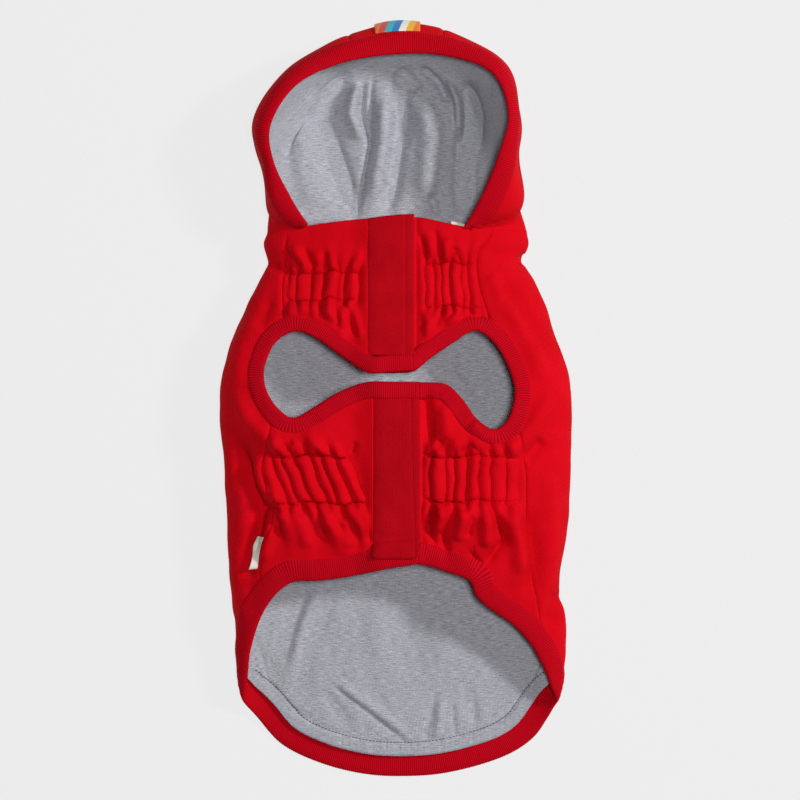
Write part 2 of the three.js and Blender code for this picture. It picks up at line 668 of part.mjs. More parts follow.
// The flap that closes a band, stepped up over the other half.
function flapPiece(flap, topAt, bottomAt, cutters) {
  const place = (i, j) => {
    const x = flap.left + halfGap + (flapWidth / bodyHalfWidth - halfGap) * i;
    const at = mix(topAt(x), bottomAt, j);
    return [bodyAngle(x, at), at];
  };
  const lift = lifted(flap.left);
  const under = (point) => lift(point) - flapWall;
  return trimmed(sheet(body, 6, 5, place, under, lift), cutters);
}

// The hook and loop strip between a flap and the half band under it.
function fastener(flap, topAt, bottomAt) {
  const [start, end] = [flapStep + 1.5, flapWidth - 2.5];
  const inset = 5 / bodyLength;
  const place = (i, j) => {
    const x = flap.left + mix(start, end, i) / bodyHalfWidth;
    const at = mix(topAt + inset, bottomAt - inset, j);
    return [bodyAngle(x, at), at];
  };
  const strip = sheet(body, 3, 5, place, flapClearance, flapClearance + fastenerWall);
  return toGeometry(toSolid(strip));
}

// Moves evenly spread shares closer together at the two flanks.
const denserFlanks = (share) => share + Math.sin(4 * Math.PI * share) / 30;

// The back of the body, from one side seam round the floor side to the other, between neck and hem.
function backSheet(low, high, cutters) {
  const [hemStart, hemEnd] = [0.19, 0.81];
  const hemOutside = bodyStrip(hemCurve, -1, -2);
  const place = (i, j) => {
    const [hemAngle, hemAt] = hemOutside(mix(hemStart, hemEnd, denserFlanks(i)), 1);
    const at = mix(seamGap / bodyLength, hemAt, j);
    const left = bodyAngle(seamX(-1, at) + seamOverrun, at);
    const right = bodyAngle(seamX(1, at) - seamOverrun, at);
    return [mix(mix(left, right, denserFlanks(i)), hemAngle, smooth((j - 0.5) / 0.5)), at];
  };
  return trimmed(sheet(body, 20, 11, place, low, high, bodyRelief), [...cutters, ...seamRooms]);
}

// Columns of the hood's cloth, as places round the rim. The lining follows the columns of the shell.
const [centerStart, centerEnd] = [0.5 - hoodCenterShare, 0.5 + hoodCenterShare];
const hoodSeam = 0.0012;
const leftColumns = spread(0.036, centerStart - hoodSeam, 9);
const centerColumns = spread(centerStart, centerEnd, 4);
const rightColumns = spread(centerEnd + hoodSeam, 0.96, 9);

// A panel of the hood over a list of columns.
function hoodPanel(columns, low, high, rooms = hoodRib.rooms.flat()) {
  const last = columns.length - 1;
  const place = (i, j) => [columns[Math.round(i * last)], mix(0, 0.98, j)];
  return trimmed(sheet(hood, last, 7, place, low, high, hoodRelief), [...rooms, ...neckRooms]);
}

// A small piece of ribbon or label laid on a surface, with a lift that may change over it.
function patch(surface, columns, rows, place, low, wall) {
  const high = (point, i, j) => low(point, i, j) + wall;
  const relief = surface === body ? bodyRelief : hoodRelief;
  return toGeometry(toSolid(sheet(surface, columns, rows, place, low, high, relief)));
}

// The striped ribbon tab, sewn in behind the forehead rib and lying back over the crown.
function crownTab() {
  const halfTab = tabWidth / 2 / (hoodPoint(0.51, 0.9).distanceTo(hoodPoint(0.49, 0.9)) / 0.02);
  const [near, far] = [hoodRibWidth + seamGap, hoodRibWidth + seamGap + tabLength].map(hoodStrip);
  const place = (i, j) => {
    const u = mix(0.5 - halfTab, 0.5 + halfTab, i);
    return [u, mix(near(u, 1)[1], far(u, 1)[1], j)];
  };
  return patch(hood, 4, 3, place, () => tabClearance, tabWall);
}

// The folded label in the left side seam, standing up from the cloth as it leaves the seam.
function sideLabel() {
  const reach = sideLabelReach / bodyHalfWidth;
  const place = (i, j) => {
    const at = sideLabelAt + (j * sideLabelLength) / bodyLength;
    return [bodyAngle(seamX(-1, at) - 6 * halfGap - reach * (1 - i), at), at];
  };
  return patch(body, 2, 2, place, (point, i) => tabClearance + sideLabelRise * (1 - i), labelWall);
}

// The small label behind the neck band's top edge.
function neckLabel() {
  const place = (i, j) => {
    const x = neckLabelX + (i * neckLabelWidth) / bodyHalfWidth;
    const at = neckAt(x) + (j * neckLabelReach - neckLabelPeek) / bodyLength;
    return [bodyAngle(x, at), at];
  };
  return patch(body, 1, 1, place, () => -bandWall - gatherDepth / 2 - labelWall, labelWall);
}

const liningHigh = -shellWall - liningClearance;
const liningLow = liningHigh - liningWall;

const pieces = {
  back_panel: ['fleece', backSheet(-shellWall, 0, bodyRibs.flatMap((rib) => rib.rooms.flat()))],
  body_lining: ['jersey', backSheet(
    liningLow, liningHigh, bodyRibs.flatMap((rib) => rib.liningRooms),
  )],
  neck_band_left: ['fleece', halfBand(
    'neck_band_left', neckFlap, bandTop, (x) => edgeAt(leftLegEdge, 0, 6, x) + insideLeg,
    [...legRibLeft.rooms[0], seamRooms[0]],
  )],
  neck_band_right: ['fleece', halfBand(
    'neck_band_right', neckFlap, bandTop, (x) => edgeAt(rightLegEdge, 0, 6, x) + insideLeg,
    [...legRibRight.rooms[0], seamRooms[1]],
  )],
  chest_band_left: ['fleece', halfBand(
    'chest_band_left', chestFlap, (x) => edgeAt(leftLegEdge, 10, 16, x) - insideLeg,
    (x) => edgeAt(hemEdge, 0, 9, x) + insideLeg,
    [...legRibLeft.rooms[1], ...hemRib.rooms[0], seamRooms[0]],
  )],
  chest_band_right: ['fleece', halfBand(
    'chest_band_right', chestFlap, (x) => edgeAt(rightLegEdge, 10, 17, x) - insideLeg,
    (x) => edgeAt(hemEdge, 21, 31, x) + insideLeg,
    [...legRibRight.rooms[1], ...hemRib.rooms[1], seamRooms[1]],
  )],
  neck_flap: ['facing', flapPiece(neckFlap, bandTop, neckFlap.bottom - halfLegRib, legRibLeft.rooms[0])],
  chest_flap: ['facing', flapPiece(
    chestFlap, () => chestFlap.top + halfLegRib, chestFlap.bottom - halfHemRib,
    [...legRibLeft.rooms[1], ...hemRib.rooms[0]],
  )],
  neck_fastener: ['hook_tape', fastener(neckFlap, neckFlap.top, neckFlap.bottom - 2 * halfLegRib)],
  chest_fastener: ['hook_tape', fastener(
    chestFlap, chestFlap.top + 2 * halfLegRib, chestFlap.bottom - 2 * halfHemRib,
  )],
  leg_rib_left: ['rib', legRibLeft.own],
  leg_rib_right: ['rib', legRibRight.own],
  hem_rib: ['rib', hemRib.own],
  hood_rib: ['rib', trimmed(hoodRib.own, neckRooms)],
  hood_side_left: ['fleece', hoodPanel(leftColumns, -shellWall, 0)],
  hood_center: ['fleece', hoodPanel(centerColumns, -shellWall, 0)],
  hood_side_right: ['fleece', hoodPanel(rightColumns, -shellWall, 0)],
  hood_lining: ['jersey', hoodPanel(
    [...leftColumns, ...centerColumns.slice(1, -1), ...rightColumns], liningLow, liningHigh,
    hoodRib.liningRooms,
  )],
  hood_tab: ['ribbon', crownTab()],
  side_label: ['label', sideLabel()],
  neck_label: ['label', neckLabel()],
};

const cloth = {
  fleece: { color: '#b70f1d', roughness: 0.9, metalness: 0 },
  facing: { color: '#ad1019', roughness: 0.85, metalness: 0 },
  rib: { color: '#bd1020', roughness: 0.92, metalness: 0 },
  jersey: { color: '#9b9ca3', roughness: 0.95, metalness: 0 },
  hook_tape: { color: '#9c1018', roughness: 0.8, metalness: 0 },
  ribbon: { color: '#d8b060', roughness: 0.7, metalness: 0 },
  label: { color: '#ece6dd', roughness: 0.7, metalness: 0 },
};

const garment = new THREE.Group();
for (const [name, [material, geometry]] of Object.entries(pieces)) {
  const mesh = new THREE.Mesh(geometry, new THREE.MeshStandardMaterial(cloth[material]));
  mesh.name = name;
  garment.add(mesh);
}

// The coat's origin is under the middle of its outline, on the floor.
const outline = new THREE.Box3().setFromObject(garment);
const middle = outline.getCenter(new THREE.Vector3());
garment.position.set(-middle.x, -middle.y, -outline.min.z);

export default garment;
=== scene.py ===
"""Dresses a hooded coat for a small dog: red jersey-faced fleece, grey marl lining and ribbed bindings.

The coat lies on its back, belly up, and is seen from straight above. Its cloth is built on two smooth
surfaces, the body and the hood, with the gathers, folds and seams of the sewn coat. Sizes are millimetres
with Y starting at the neck seam and running towards the hood, and become metres in the row frame when a mesh
is made.
"""

from __future__ import annotations

import logging
import math
from dataclasses import dataclass, field
from enum import Enum
from typing import Callable, Sequence

import bpy
import numpy as np
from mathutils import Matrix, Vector
from mathutils.kdtree import KDTree

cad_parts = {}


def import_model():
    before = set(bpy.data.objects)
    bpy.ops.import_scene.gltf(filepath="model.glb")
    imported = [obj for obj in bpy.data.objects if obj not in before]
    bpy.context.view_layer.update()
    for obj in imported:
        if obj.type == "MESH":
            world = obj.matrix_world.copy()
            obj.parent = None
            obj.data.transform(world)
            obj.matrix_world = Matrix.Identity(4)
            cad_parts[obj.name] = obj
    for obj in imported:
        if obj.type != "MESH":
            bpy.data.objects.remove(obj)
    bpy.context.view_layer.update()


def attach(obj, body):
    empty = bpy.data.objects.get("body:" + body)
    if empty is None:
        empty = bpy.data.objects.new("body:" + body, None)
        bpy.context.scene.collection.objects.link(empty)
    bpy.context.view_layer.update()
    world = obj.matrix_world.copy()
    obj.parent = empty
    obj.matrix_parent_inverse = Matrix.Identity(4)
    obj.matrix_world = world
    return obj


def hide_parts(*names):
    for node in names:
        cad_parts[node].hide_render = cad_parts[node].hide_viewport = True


Array = np.ndarray
Grid = tuple[Array, Array]

METRE = 0.001
TURN = 2 * math.pi
# Widths of the ribbed bindings in millimetres.
LEG_BINDING = 10.5
HEM_BINDING = 14.0
# Keeps a division from meeting zero.
TINY = 1e-9
# From the neck seam to the row's origin, which lies under the middle of the coat's outline.
ORIGIN_SHIFT = np.array([0.22, 105.23, 0.0])
LOG = logging.getLogger("coat")

# Cross-sections of the body: place along it, left and right half width, belly height, and the height of the
# widest point.
BODY_SECTIONS = np.array([
    (-0.06, 0.72, 0.73, 0.76, 0.34), (0.0, 0.735, 0.744, 0.76, 0.34), (0.02, 0.755, 0.752, 0.76, 0.34),
    (0.053, 0.735, 0.725, 0.74, 0.34), (0.088, 0.78, 0.785, 0.78, 0.36), (0.16, 0.885, 0.878, 0.88, 0.4),
    (0.27, 0.994, 0.984, 0.98, 0.44), (0.34, 1.0, 0.998, 1.0, 0.44), (0.45, 0.974, 0.99, 0.97, 0.44),
    (0.52, 0.962, 0.98, 0.94, 0.43), (0.58, 0.955, 0.95, 0.9, 0.42), (0.615, 0.946, 0.926, 0.87, 0.4),
    (0.655, 0.93, 0.934, 0.82, 0.38), (0.71, 0.917, 0.962, 0.72, 0.34), (0.77, 0.908, 0.968, 0.6, 0.28),
    (0.83, 0.892, 0.94, 0.49, 0.25), (0.88, 0.85, 0.9, 0.41, 0.21), (1.0, 0.74, 0.78, 0.2, 0.1),
])

# Meridians of the hood from the left end of its rim to the right: rim x, y and z, bulge, tuck, share that
# lies on the floor, angle round the neck seam in degrees, and how far along the body the seam is there.
HOOD_MERIDIANS = np.array([
    (-0.503, 0.03, 0.7, 0.05, 0, 0, -136, -0.011), (-0.59, 0.15, 0.8, 0.31, 0, 0.1, -117, 0),
    (-0.69, 0.325, 0.92, 0.16, 0.1, 0.5, -97, 0), (-0.705, 0.5, 0.98, 0.21, 0.4, 0.95, -76, 0),
    (-0.56, 0.69, 0.95, 0.22, 0.5, 1, -52, 0), (-0.3, 0.8, 0.85, 0.29, 0.5, 1, -28, 0),
    (0.02, 0.845, 0.76, 0.38, 0.5, 1, 0, 0), (0.3, 0.83, 0.82, 0.29, 0.5, 1, 28, 0),
    (0.54, 0.745, 0.95, 0.19, 0.5, 1, 52, 0), (0.63, 0.56, 1.0, 0.13, 0.4, 0.95, 76, 0),
    (0.585, 0.385, 0.95, 0.25, 0.15, 0.5, 98, 0), (0.5, 0.2, 0.84, 0.46, 0, 0.1, 120, 0),
    (0.39, 0.02, 0.72, 0.05, 0, 0, 146, -0.007),
])

# Edges sewn with a binding, as x and place along the body. The hem's third number is 1 on the floor side.
LEFT_LEG_EDGE = np.array([
    (0.1, 0.2545), (-0.036, 0.257), (-0.161, 0.257), (-0.292, 0.23), (-0.446, 0.195), (-0.571, 0.1815),
    (-0.685, 0.2025), (-0.744, 0.248), (-0.73, 0.29), (-0.662, 0.323), (-0.577, 0.3385), (-0.468, 0.321),
    (-0.332, 0.294), (-0.178, 0.2755), (-0.024, 0.275), (0.131, 0.275),
])
RIGHT_LEG_EDGE = np.array([
    (-0.095, 0.257), (0.0, 0.257), (0.1, 0.2535), (0.192, 0.23), (0.317, 0.2025), (0.442, 0.1805),
    (0.545, 0.2005), (0.624, 0.241), (0.667, 0.292), (0.63, 0.3395), (0.55, 0.3595), (0.454, 0.3415),
    (0.374, 0.3065), (0.283, 0.279), (0.163, 0.275), (0.05, 0.2755), (-0.06, 0.2755),
])
HEM_EDGE = np.array([
    (0.131, 0.6, 0), (-0.06, 0.61, 0), (-0.25, 0.625, 0), (-0.43, 0.633, 0), (-0.59, 0.637, 0),
    (-0.7, 0.666, 0), (-0.78, 0.71, 0), (-0.83, 0.765, 0), (-0.855, 0.83, 0), (-0.866, 0.862, 1),
    (-0.8, 0.89, 1), (-0.66, 0.94, 1), (-0.44, 0.975, 1), (-0.2, 0.995, 1), (0.03, 1.0, 1),
    (0.3, 0.993, 1), (0.62, 0.963, 1), (0.79, 0.927, 1), (0.87, 0.89, 1), (0.91, 0.866, 1),
    (0.895, 0.84, 0), (0.83, 0.79, 0), (0.775, 0.757, 0), (0.66, 0.715, 0), (0.52, 0.683, 0),
    (0.45, 0.66, 0), (0.41, 0.633, 0), (0.29, 0.618, 0), (0.14, 0.604, 0), (0.03, 0.604, 0),
    (-0.06, 0.607, 0),
])

# Side seams: place along the body, then x of the left and the right seam.
SIDE_SEAMS = np.array([
    (-0.05, 0.62, 0.545), (0.0, 0.62, 0.54), (0.046, 0.635, 0.46), (0.106, 0.65, 0.475), (0.17, 0.64, 0.54),
    (0.26, 0.68, 0.62), (0.37, 0.715, 0.69), (0.43, 0.76, 0.73), (0.47, 0.73, 0.735), (0.53, 0.7, 0.74),
    (0.58, 0.76, 0.76), (0.72, 0.78, 0.82),
])

# Free top edge of the neck bands, as x and place along the body.
NECK_EDGE = np.array([
    (-0.8, 0), (-0.66, 0), (-0.6, -0.003), (-0.55, -0.007), (-0.5, -0.011), (-0.23, -0.021), (0.1, -0.026),
    (0.33, -0.012), (0.4, -0.0075), (0.47, -0.004), (0.55, -0.001), (0.62, 0), (0.8, 0),
])


def curve(start: Array, rise: Array, leave: Array, arrive: Array, share: Array) -> Array:
    """A smooth curve over one step of a table.

    Args:
        start: Where the step starts.
        rise: How much the value rises over it.
        leave: Slope at the start, for the whole step.
        arrive: Slope at the end.
        share: Place in the step, from 0 to 1.

    Returns:
        The values at the places.
    """
    bend = 3 * rise - 2 * leave - arrive
    return start + share * (leave + share * (bend + share * (leave + arrive - 2 * rise)))


def smooth_column(stations: Array, values: Array, places: Array | float) -> Array:
    """Reads a column of a table at places between its rows, on a smooth curve.

    Args:
        stations: Place of each row, rising.
        values: The column's value in each row.
        places: Where the column is read.

    Returns:
        One value for each place.
    """
    last = len(stations) - 1
    place = np.clip(places, stations[0], stations[-1])
    start = np.clip(np.searchsorted(stations, place, side="left") - 1, 0, last - 1)
    end = start + 1
    before, after = np.maximum(start - 1, 0), np.minimum(end + 1, last)
    step = stations[end] - stations[start]
    share = (place - stations[start]) / step
    leave = (values[end] - values[before]) / np.maximum(stations[end] - stations[before], TINY) * step
    arrive = (values[after] - values[start]) / np.maximum(stations[after] - stations[start], TINY) * step
    return curve(values[start], values[end] - values[start], leave, arrive, share)


def smooth(share: Array | float) -> Array:
    """Eases a share from 0 to 1 in and out."""
    held = np.clip(share, 0.0, 1.0)
    return held * held * (3 - 2 * held)


def bell(distance: Array, width: float | Array) -> Array:
    """Falls smoothly from 1 to nothing over a few widths."""
    return np.exp(-((distance / width) ** 2))


def unit(vectors: Array) -> Array:
    """Scales vectors to length one."""
    return vectors / np.maximum(np.linalg.norm(vectors, axis=-1, keepdims=True), 1e-12)


def run_length(points: Array) -> Array:
    """Length along a polyline up to each of its points."""
    steps = np.linalg.norm(np.diff(points, axis=0), axis=1)
    return np.concatenate([[0.0], np.cumsum(steps)])


@dataclass(frozen=True)
class BodySurface:
    """The coat's body as a tube: a is the angle round it, 0 in the middle of the back, b the share along."""

    length: float = 342.0
    half_width: float = 110.0
    height: float = 50.0
    belly_crown: float = 0.8
    back_flatness: float = 1.2
    step: tuple[float, float] = (0.5, 0.002)
    hand: int = 1

    def half(self, b: Array, left: Array) -> Array:
        """Half width on the left or the right, in millimetres."""
        sides = [smooth_column(BODY_SECTIONS[:, 0], BODY_SECTIONS[:, k], b) for k in (1, 2)]
        return np.where(left, *sides) * self.half_width

    def point(self, a: Array, b: Array) -> Array:
        """Points of the plain surface.

        Args:
            a: Angles round the body in degrees; 90 and -90 are the flanks and 180 the belly.
            b: Shares of the body's length.

        Returns:
            Points in millimetres, in the last axis.
        """
        turn = np.mod(a + 180.0, 360.0) - 180.0
        stations = BODY_SECTIONS[:, 0]
        top = smooth_column(stations, BODY_SECTIONS[:, 3], b) * self.height
        side = smooth_column(stations, BODY_SECTIONS[:, 4], b) * self.height
        across = np.sin(np.radians(turn))
        half = self.half(b, turn < 0)
        belly = np.abs(turn) > 90
        tall = np.where(belly, top - side, side)
        power = np.where(belly, self.belly_crown, self.back_flatness) * half / tall
        rise = tall * np.sqrt(np.maximum(0.0, 1 - np.abs(across) ** power))
        return np.stack([across * half, -b * self.length, side + np.where(belly, rise, -rise)], axis=-1)

    def angle(self, x: Array, b: Array, back: bool | Array = False) -> Array:
        """Angle of the body seen from above.

        Args:
            x: Places across, as shares of the widest half width.
            b: Shares along the body.
            back: Whether the places lie on the back.

        Returns:
            The angles in degrees.
        """
        half = self.half(b, np.asarray(x) < 0)
        turn = np.degrees(np.arcsin(np.clip(np.abs(x) * self.half_width / half, 0, 1)))
        return np.where(np.asarray(x) < 0, -1.0, 1.0) * np.where(back, turn, 180.0 - turn)


@dataclass(frozen=True)
class HoodSurface:
    """The hood as meridians from the neck seam to its rim: a runs round the rim, b from the neck to it."""

    body: BodySurface
    length: float = 130.0
    height: float = 54.0
    shoulder: float = 0.62
    shoulder_height: float = 0.93
    out_height: float = 0.55
    step: tuple[float, float] = (0.004, 0.01)
    hand: int = -1
    samples: int = 61

    def column(self, index: int, a: Array) -> Array:
        """One column of the table of meridians."""
        stations = np.linspace(0, 1, len(HOOD_MERIDIANS))
        return smooth_column(stations, HOOD_MERIDIANS[:, index], a)

    def plan(self, a: Array) -> Array:
        """The rim seen from above."""
        return np.stack([self.column(0, a) * self.body.half_width, self.column(1, a) * self.length], axis=-1)

    def point(self, a: Array, b: Array) -> Array:
        """Points of the plain surface.

        Args:
            a: Places round the rim, from 0 to 1.
            b: Shares of the way from the neck seam to the rim.

        Returns:
            Points in millimetres, in the last axis.
        """
        shape = np.shape(a)
        a, b = np.ravel(a), np.ravel(b)
        rim = self.plan(a)
        near = 0.01
        along = unit(self.plan(np.minimum(1, a + near)) - self.plan(np.maximum(0, a - near)))
        rim_z, bulge, tuck = (self.column(k, a) * self.height for k in (2, 3, 4))
        drop = np.clip(self.column(5, a), 0, 1)
        outward = np.stack([-along[:, 1], along[:, 0]], axis=-1)

        def beyond(reach: Array, z: Array) -> Array:
            """A point beyond the rim, at a height."""
            return np.concatenate([rim + outward * reach[:, None], z[:, None]], axis=1)

        neck = self.body.point(self.column(6, a), self.column(7, a))
        out = beyond(bulge, neck[:, 2] * (1 - drop) + rim_z * self.out_height * drop)
        # Where the hood doesn't lie on the floor, it leaves the neck straight towards its widest place.
        low = neck * 0.6 + out * 0.4
        low = low * (1 - drop[:, None]) + beyond(bulge - tuck, np.zeros_like(bulge)) * drop[:, None]
        shoulder = beyond(bulge * self.shoulder, rim_z * self.shoulder_height)
        knots = np.stack([neck, low, out, shoulder, beyond(np.zeros_like(bulge), rim_z)], axis=1)
        steps = np.maximum(np.linalg.norm(np.diff(knots, axis=1), axis=2), 0.5) ** 0.75
        marks = np.concatenate([np.zeros((len(a), 1)), np.cumsum(steps, axis=1)], axis=1)
        marks = marks / marks[:, -1:]
        points = self._through(knots, marks, b)
        points[:, 2] = np.maximum(points[:, 2], 0)
        return points.reshape(*shape, 3)

    @staticmethod
    def _through(knots: Array, marks: Array, b: Array) -> Array:
        """Reads the smooth curve of each row through its own five knots.

        Args:
            knots: The knots of each row.
            marks: Share of the way at which each knot lies.
            b: Share at which each row is read.

        Returns:
            One point for each row.
        """
        rows = np.arange(len(b))
        place = np.clip(b, 0, 1)
        start = np.clip((marks[:, 1:] < place[:, None]).sum(axis=1), 0, 3)
        end = start + 1
        before, after = np.maximum(start - 1, 0), np.minimum(end + 1, 4)
        step = (marks[rows, end] - marks[rows, start])[:, None]
        share = (place - marks[rows, start])[:, None] / step
        into = (marks[rows, end] - marks[rows, before])[:, None]
        onward = (marks[rows, after] - marks[rows, start])[:, None]
        leave = (knots[rows, end] - knots[rows, before]) / np.maximum(into, TINY) * step
        arrive = (knots[rows, after] - knots[rows, start]) / np.maximum(onward, TINY) * step
        return curve(knots[rows, start], knots[rows, end] - knots[rows, start], leave, arrive, share)

    def strip(self, a: Array, reach: Array) -> Array:
        """Share b of the points that lie a distance down from the rim.

        Args:
            a: Places round the rim.
            reach: Distance down from the rim at each place, in millimetres.

        Returns:
            The share b at each place. A meridian that is too short is used up.
        """
        shares = np.linspace(1, 0, self.samples)
        lines = self.point(*np.broadcast_arrays(a[:, None], shares[None, :]))
        steps = np.linalg.norm(np.diff(lines, axis=1), axis=2)
        runs = np.concatenate([np.zeros((len(a), 1)), np.cumsum(steps, axis=1)], axis=1)
        return np.array([np.interp(r, run, shares) for r, run in zip(reach, runs)])


Surface = BodySurface | HoodSurface


def frame_at(surface: Surface, a: Array, b: Array) -> tuple[Array, Array, Array, Array]:
    """Points, outward normals and the two directions of a surface.

    Args:
        surface: The body or the hood.
        a: First coordinate of the surface.
        b: Second coordinate of the surface.

    Returns:
        Points, normals, and the derivatives along a and along b.
    """
    da, db = surface.step
    top = np.minimum(b, 1 - db) if isinstance(surface, HoodSurface) else b
    along_a = (surface.point(a + da, b) - surface.point(a - da, b)) / (2 * da)
    along_b = (surface.point(a, top + db) - surface.point(a, top - db)) / (2 * db)
    normal = unit(np.cross(along_a, along_b) * surface.hand)
    return surface.point(a, b), normal, along_a, along_b


def walk(body: BodySurface, a: Array, b: Array, heading: Array, distance: Array) -> Grid:
    """Walks on the body from many places at once.

    Args:
        body: The body's surface.
        a: Angles of the starting places.
        b: Shares along the body of the starting places.
        heading: A direction for each place.
        distance: How far each walk goes, in millimetres.

    Returns:
        The angles and shares where the walks end.
    """
    longest_step = 2.5
    steps = max(1, math.ceil(float(np.abs(distance).max()) / longest_step))
    stride = distance / steps
    direction = heading.copy()
    for _ in range(steps):
        _, normal, along_a, along_b = frame_at(body, a, b)
        direction = unit(direction - normal * (direction * normal).sum(-1, keepdims=True))
        pairs = (along_a, along_a), (along_a, along_b), (along_b, along_b)
        aa, ab, bb = ((p * q).sum(-1) for p, q in pairs)
        pa, pb = (along_a * direction).sum(-1) * stride, (along_b * direction).sum(-1) * stride
        determinant = aa * bb - ab * ab
        a = a + (pa * bb - pb * ab) / determinant
        b = b + (pb * aa - pa * ab) / determinant
    return a, b


BODY = BodySurface()
HOOD = HoodSurface(BODY)


class Edge:
    """A sewn edge of the body as a smooth curve through its rows."""

    samples = 1600
    near = 0.003

    def __init__(self, rows: Array) -> None:
        """Fits the curve.

        Args:
            rows: x and place along the body of each row, and a third number that is 1 on the floor side.
        """
        back = rows[:, 2] > 0 if rows.shape[1] > 2 else np.zeros(len(rows), bool)
        angles = np.degrees(np.unwrap(np.radians(BODY.angle(rows[:, 0], rows[:, 1], back))))
        angles -= 360 * round(angles[len(angles) // 2] / 360)
        self.stations = np.linspace(0, 1, len(rows))
        self.angles = angles
        self.shares = rows[:, 1]
        self.fine = np.linspace(0, 1, self.samples)
        self.line = BODY.point(*self.at(self.fine))
        self.runs = run_length(self.line)
        self.tree = KDTree(len(self.line))
        for k, point in enumerate(self.line):
            self.tree.insert(Vector(point), k)
        self.tree.balance()

    def at(self, s: Array) -> Grid:
        """Angle and share along the body at places from 0 to 1 along the edge."""
        return smooth_column(self.stations, self.angles, s), smooth_column(self.stations, self.shares, s)

    def even(self, spacing: float) -> Array:
        """Places along the edge that lie a distance apart."""
        count = max(2, round(self.runs[-1] / spacing))
        return np.interp(np.linspace(0, self.runs[-1], count + 1), self.runs, self.fine)

    def beside(self, s: Array, side: int, distance: Array) -> Grid:
        """Places beside the edge.

        Args:
            s: Places along the edge.
            side: 1 or -1, which side of the edge.
            distance: How far from it, in millimetres; below zero is the other side.

        Returns:
            Angle and share along the body.
        """
        a, b = self.at(s)
        before, after = np.maximum(0, s - self.near), np.minimum(1, s + self.near)
        tangent = unit(BODY.point(*self.at(after)) - BODY.point(*self.at(before)))
        heading = np.cross(frame_at(BODY, a, b)[1], tangent) * side
        return walk(BODY, a, b, heading, distance)

    def distance(self, points: Array) -> Array:
        """Distance of each point from the edge, in millimetres."""
        flat = points.reshape(-1, 3)
        return np.array([self.tree.find(Vector(p))[2] for p in flat]).reshape(points.shape[:-1])

    def encloses(self, points: Array) -> Array:
        """Finds the points that lie within the edge seen from above, as in a leg opening.

        Args:
            points: Points in millimetres.

        Returns:
            True for each point within the edge.
        """
        x, y = points[..., 0], points[..., 1]
        inside = np.zeros(x.shape, bool)
        corners = self.line[::8, :2]
        for (x0, y0), (x1, y1) in zip(corners, np.roll(corners, -1, axis=0)):
            if y0 == y1:
                continue
            crosses = (y0 > y) != (y1 > y)
            inside ^= crosses & (x < (x1 - x0) * (y - y0) / (y1 - y0) + x0)
        return inside


LEFT_LEG = Edge(LEFT_LEG_EDGE)
RIGHT_LEG = Edge(RIGHT_LEG_EDGE)
HEM = Edge(HEM_EDGE)


def hem_share(a: Array) -> Array:
    """Share along the body at which the hem cuts it, for an angle from -180 to 185."""
    angles, shares = HEM.at(HEM.fine)
    return np.interp(a, angles, shares)


def seam_x(hand: int, b: Array) -> Array:
    """x of a side seam as a share of the half width."""
    return hand * smooth_column(SIDE_SEAMS[:, 0], SIDE_SEAMS[:, 1 if hand < 0 else 2], b)


def neck_share(x: Array) -> Array:
    """Place along the body of the neck bands' free edge."""
    return smooth_column(NECK_EDGE[:, 0], NECK_EDGE[:, 1], x)


@dataclass(frozen=True)
class Fold:
    """A ridge or a valley in the cloth, along a line seen from above."""

    line: tuple[tuple[float, float], ...]
    width: float
    depth: float

    def height(self, x: Array, y: Array) -> Array:
        """How far the fold lifts the cloth.

        Args:
            x: Places across, seen from above, in millimetres.
            y: Places along.

        Returns:
            Height in millimetres, below zero in a valley.
        """
        corners = np.array(self.line, float)
        runs = run_length(corners)
        nearest = np.full(x.shape, 1e9)
        place = np.zeros(x.shape)
        for k in range(len(corners) - 1):
            (x0, y0), (dx, dy) = corners[k], corners[k + 1] - corners[k]
            share = np.clip(((x - x0) * dx + (y - y0) * dy) / (dx * dx + dy * dy), 0, 1)
            away = np.hypot(x - x0 - share * dx, y - y0 - share * dy)
            place = np.where(away < nearest, (runs[k] + share * (runs[k + 1] - runs[k])) / runs[-1], place)
            nearest = np.minimum(nearest, away)
        taper = smooth(place / 0.3 + 0.25) * smooth((1 - place) / 0.3 + 0.25)
        return self.depth * taper * bell(nearest, self.width)


